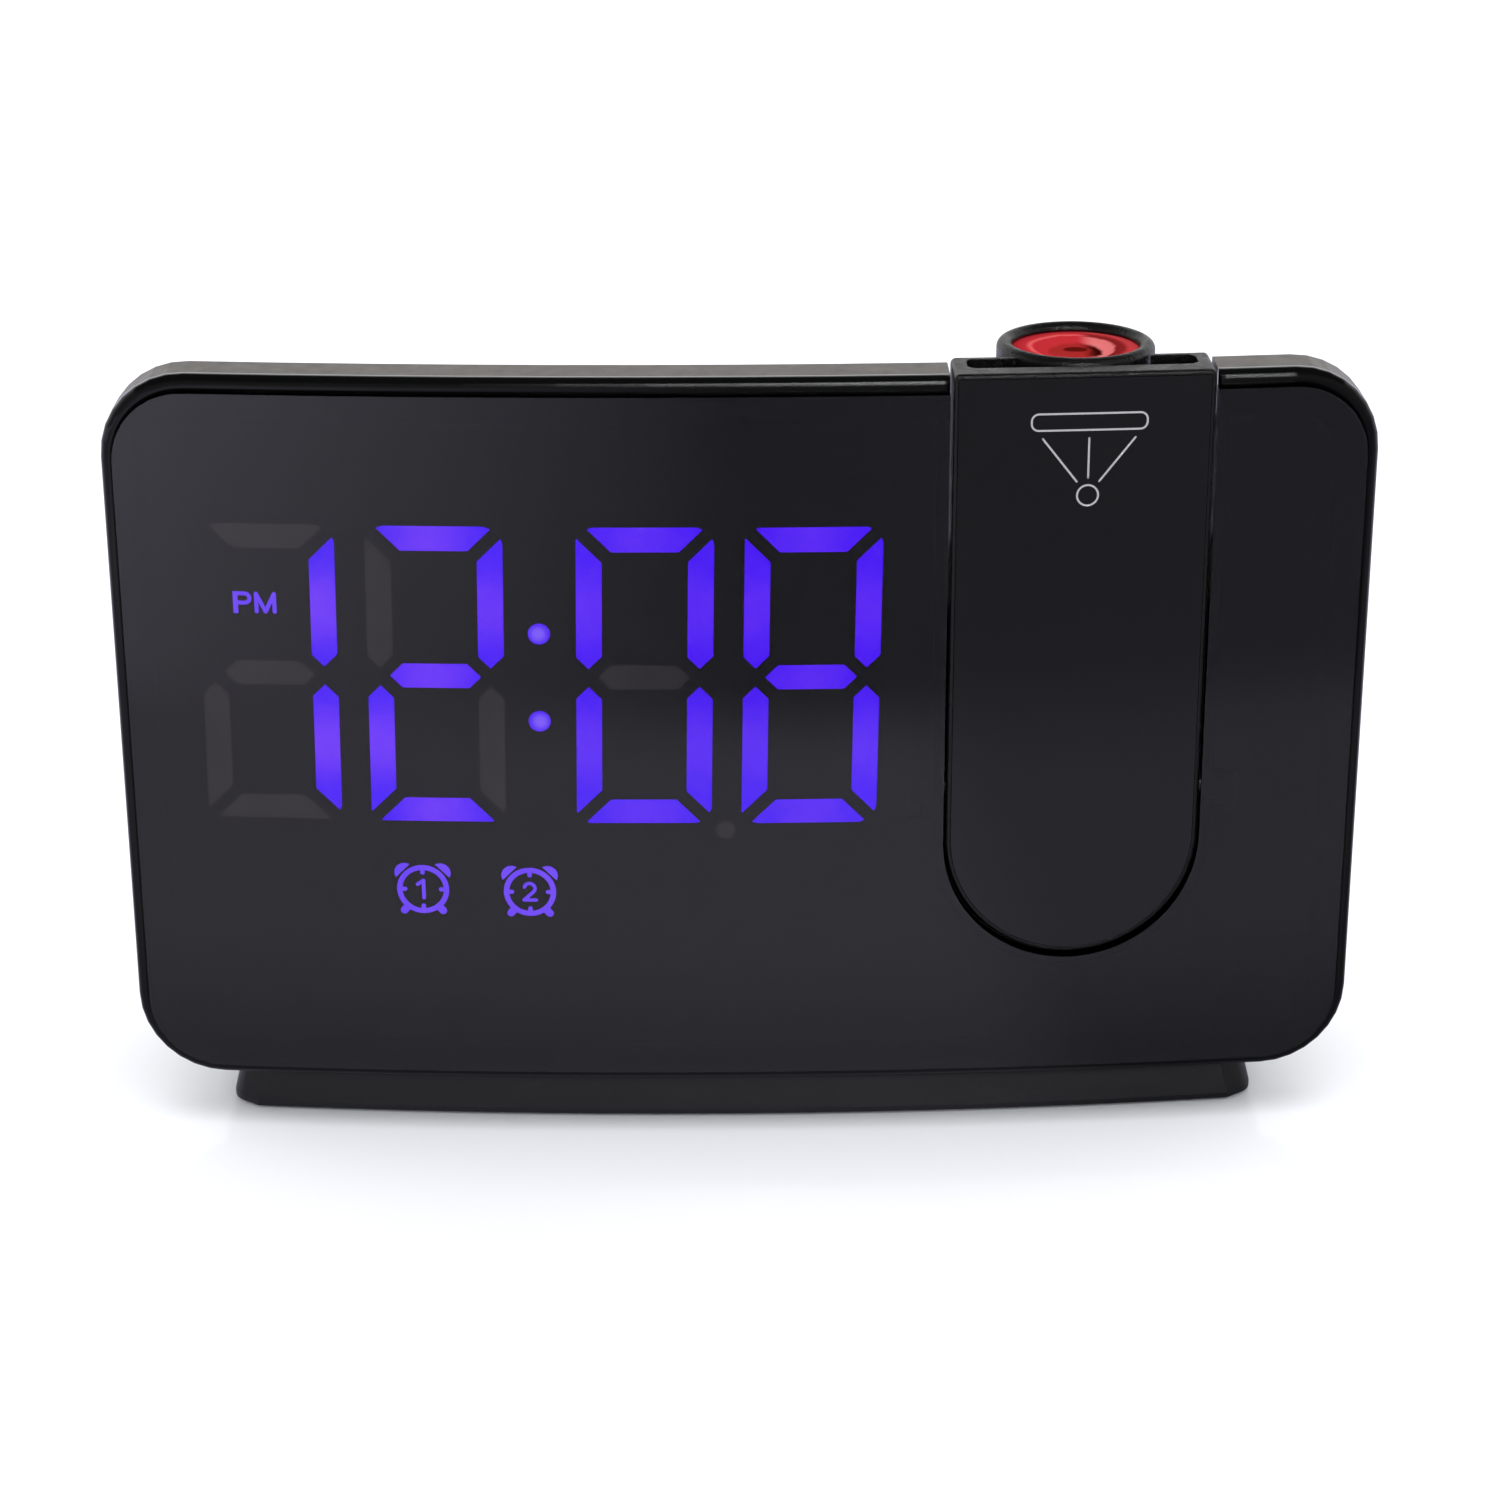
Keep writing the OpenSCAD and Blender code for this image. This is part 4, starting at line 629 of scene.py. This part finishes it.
def afternoon_mark():
    """The letters PM in a plain bold hand."""
    low, high, bowl_r = 81.7, 85.0, 0.70
    p_left, m_left, m_right = -72.65, -69.63, -67.03
    stem, bar = 0.72, 0.6
    top, mid = high - bar / 2, (m_left + m_right) / 2
    bowl = arc(p_left + 1.36, top - bowl_r, bowl_r, 90, -90, 10)
    foot = low + bar / 2
    shapes = stroke([(p_left, low), (p_left, high)], stem, round_ends=False)
    shapes += stroke([(p_left, top)] + bowl + [(p_left, top - 2 * bowl_r)], bar)
    shapes += stroke([(m_left, foot), (m_left, top), (mid, foot), (m_right, top), (m_right, foot)], bar)
    return flat_piece("afternoon_mark", shapes, behind_lens, LOOKS["symbol"])


afternoon_mark()

# ---------- film over the segments ----------

SEG_K = 1.308                          # end of a segment from the corner of its neighbour
FILM_IN, FILM_OUT = 0.25, 0.15         # film over each side of a segment, and over the mask beside it
FILM_ASIDE = 0.125                     # openings to the right of the segments' middles
FILM_RISE = {"a": 0.06, "g": 0.03, "d": -0.07}   # level openings above the segments' middles
FILM_STEP = 0.09                       # and a little more for each digit to the left


def segment(name, inset, cut):
    """Outline of a digit's segment, its long sides moved in by inset and its ends by cut."""
    w, h, t, k = DIGIT_W - 2 * inset, DIGIT_H - 2 * inset, SEG_W - 2 * inset, SEG_K + cut
    m = h / 2
    top = [(k, h), (w - k, h), (w - k - t, h - t), (k + t, h - t)]
    side = [(0, m + k + t / 2), (t / 2, m + k), (t, m + k + t / 2), (t, h - k - t), (0, h - k)]
    shapes = {
        "a": top,
        "d": [(x, h - z) for x, z in top],
        "g": [(k + t / 2, m), (k + t, m + t / 2), (w - k - t, m + t / 2),
              (w - k - t / 2, m), (w - k - t, m - t / 2), (k + t, m - t / 2)],
        "f": side,
        "b": [(w - x, z) for x, z in side],
        "e": [(x, h - z) for x, z in side],
        "c": [(w - x, h - z) for x, z in side],
    }
    return [Vector((x + inset, z + inset)) for x, z in shapes[name]]


def band(outer, inner):
    """Quads between two outlines with the same corners, short enough to follow the curved face."""
    out = []
    for i in range(len(outer)):
        k = (i + 1) % len(outer)
        steps = max(1, math.ceil((outer[k] - outer[i]).length / LONGEST))
        for n in range(steps):
            a, b = n / steps, (n + 1) / steps
            outside = [outer[i].lerp(outer[k], a), outer[i].lerp(outer[k], b)]
            inside = [inner[i].lerp(inner[k], b), inner[i].lerp(inner[k], a)]
            out.append([tuple(p) for p in outside + inside])
    return out


def segment_film():
    """The dark film on the display, whose openings are a little narrower than the segments behind them."""
    shapes = []
    for digit in range(4):
        left = DIGIT_LEFT + digit * DIGIT_PITCH + (COLON_SPACE if digit > 1 else 0)
        for name in "abcdefg":
            rise = FILM_STEP * (3 - digit) + FILM_RISE[name] if name in FILM_RISE else 0.0
            outer = segment(name, -FILM_OUT, -FILM_OUT)
            inner = [p + Vector((FILM_ASIDE, rise)) for p in segment(name, FILM_IN, 0.0)]
            for quad in band(outer, inner):
                above = [z - DIGIT_H / 2 for _, z in quad]
                shapes.append([(p[0] + left + LEAN * z, z + DISPLAY_Z) for p, z in zip(quad, above)])
    return flat_piece("segment_film", shapes, behind_lens, LOOKS["mask"])


segment_film()

# ---------- middle of the colon's dots ----------

COLON_R = 1.5
COLON_BRIGHT, COLON_EDGE = 0.4, 1.6    # radii where the glow begins and ends to fade


def colon_look():
    """Bright over the lamp of each dot, fading to the colour of the segments at its edge."""
    material, tree, shader = new_material("colon_glow")
    shader.inputs["Base Color"].default_value = (*LIT_BASE, 1)
    x, _, z = position(tree)
    up = math_node(tree, "ABSOLUTE", math_node(tree, "SUBTRACT", z, DISPLAY_Z * MM))
    rise = math_node(tree, "SUBTRACT", up, COLON_RISE * MM)
    aside = math_node(tree, "SUBTRACT", x, COLON_AT * MM)
    glow = soft_edge(tree, distance(tree, rise, aside), 1.0, 0.0, COLON_BRIGHT * MM, COLON_EDGE * MM)
    colour = mix_colour(tree, glow, (0.09, 0.012, 0.95), (0.23, 0.12, 1.0))
    tree.links.new(colour, shader.inputs["Emission Color"])
    shader.inputs["Emission Strength"].default_value = LIT_STRENGTH
    return material


def colon_middles():
    """The two dots' glow, just in front of them."""
    rises = (-COLON_RISE, COLON_RISE)
    shapes = [disc(COLON_AT + LEAN * rise, DISPLAY_Z + rise, COLON_R, 48) for rise in rises]
    return flat_piece("colon_middles", shapes, behind_lens, colon_look())


colon_middles()

# ---------- print on the arm ----------

PRINT_V = -0.025         # ink on the face, this far in front of it


def on_arm(x, z):
    """Point on the front of the arm, which continues the lens face."""
    return on_face(x, z, PRINT_V)


def beam_symbol():
    """A round lens throwing three straight rays at a screen, in thin line."""
    cx, lens_z, line = 49.0, 99.6, 0.28
    ray_start, ray_rise = 2.6, 8.4
    shapes = ring(cx, lens_z, 1.36, 1.64)
    for degrees in (52, 90, 128):
        ray_end = ray_rise / math.sin(math.radians(degrees))
        shapes += stroke([polar(cx, lens_z, r, degrees) for r in (ray_start, ray_end)], line)
    half, low, high, r = 8.2, 109.2, 111.6, 1.0
    frame_line = arc(cx + half - r, high - r, r, 0, 90, 6) + arc(cx - half + r, high - r, r, 90, 180, 6)
    frame_line += arc(cx - half + r, low + r, r, 180, 270, 6) + arc(cx + half - r, low + r, r, 270, 360, 6)
    shapes += stroke(frame_line, line, closed=True, round_ends=False)
    return flat_piece("beam_symbol", shapes, on_arm, LOOKS["print"], "projector_arm")


beam_symbol()

# ---------- print on the keys, read from the front ----------

KEY_FLAT_R, KEY_DISH = 2.65, 0.25      # radius and depth of the dish in a key's top
PRINT_LIFT = 0.04


def key_print(name, node, outlines, body, dished=True):
    """Symbol on top of a key, following its shallow dish."""
    points = [vertex.co for vertex in nodes[node].data.vertices]
    mid_x = (min(p.x for p in points) + max(p.x for p in points)) / 2
    mid_y = (min(p.y for p in points) + max(p.y for p in points)) / 2
    top_z = max(p.z for p in points)

    def place(x, y):
        dish = KEY_DISH * (1 - min(math.hypot(x, y) / KEY_FLAT_R, 1)) if dished else 0
        return Vector((mid_x, mid_y, top_z)) + Vector((x, y, PRINT_LIFT - dish)) * MM

    return flat_piece(name, outlines, place, LOOKS["print"], body)


KEY_SYMBOL, KEY_LINE = 3.5, 0.3
hands = stroke([(0, 0.95), (0, 0), (0.7, -0.4)], KEY_LINE)
chevron = [(-1.2, -0.6), (0, 0.7), (1.2, -0.6)]
beam = ring(0, -1.3, 0.3, 0.6)
for end in (-1.3, 0, 1.3):
    beam += stroke([(end * 0.35, -0.35), (end, 0.8)], KEY_LINE)
beam += stroke([(-1.7, 1.5), (1.7, 1.5)], KEY_LINE)
moon = arc(0, 0, 2.2, 60, 300) + arc(1.1, 0, 1.905, 270, 90)
key_print("print_alarm_1", "key_alarm_1", twin_bell(0, 0, KEY_SYMBOL, 1), "key_alarm_1_body")
key_print("print_alarm_2", "key_alarm_2", twin_bell(0, 0, KEY_SYMBOL, 2), "key_alarm_2_body")
key_print("print_clock", "key_clock", ring(0, 0, 1.5, 1.8) + hands, "key_clock_body")
key_print("print_down", "key_down", stroke([(x, -y) for x, y in chevron], KEY_LINE), "key_down_body")
key_print("print_up", "key_up", stroke(chevron, KEY_LINE), "key_up_body")
key_print("print_projector", "key_projector", beam, "key_projector_body")
key_print("print_snooze", "snooze_bar", [moon], "snooze", dished=False)
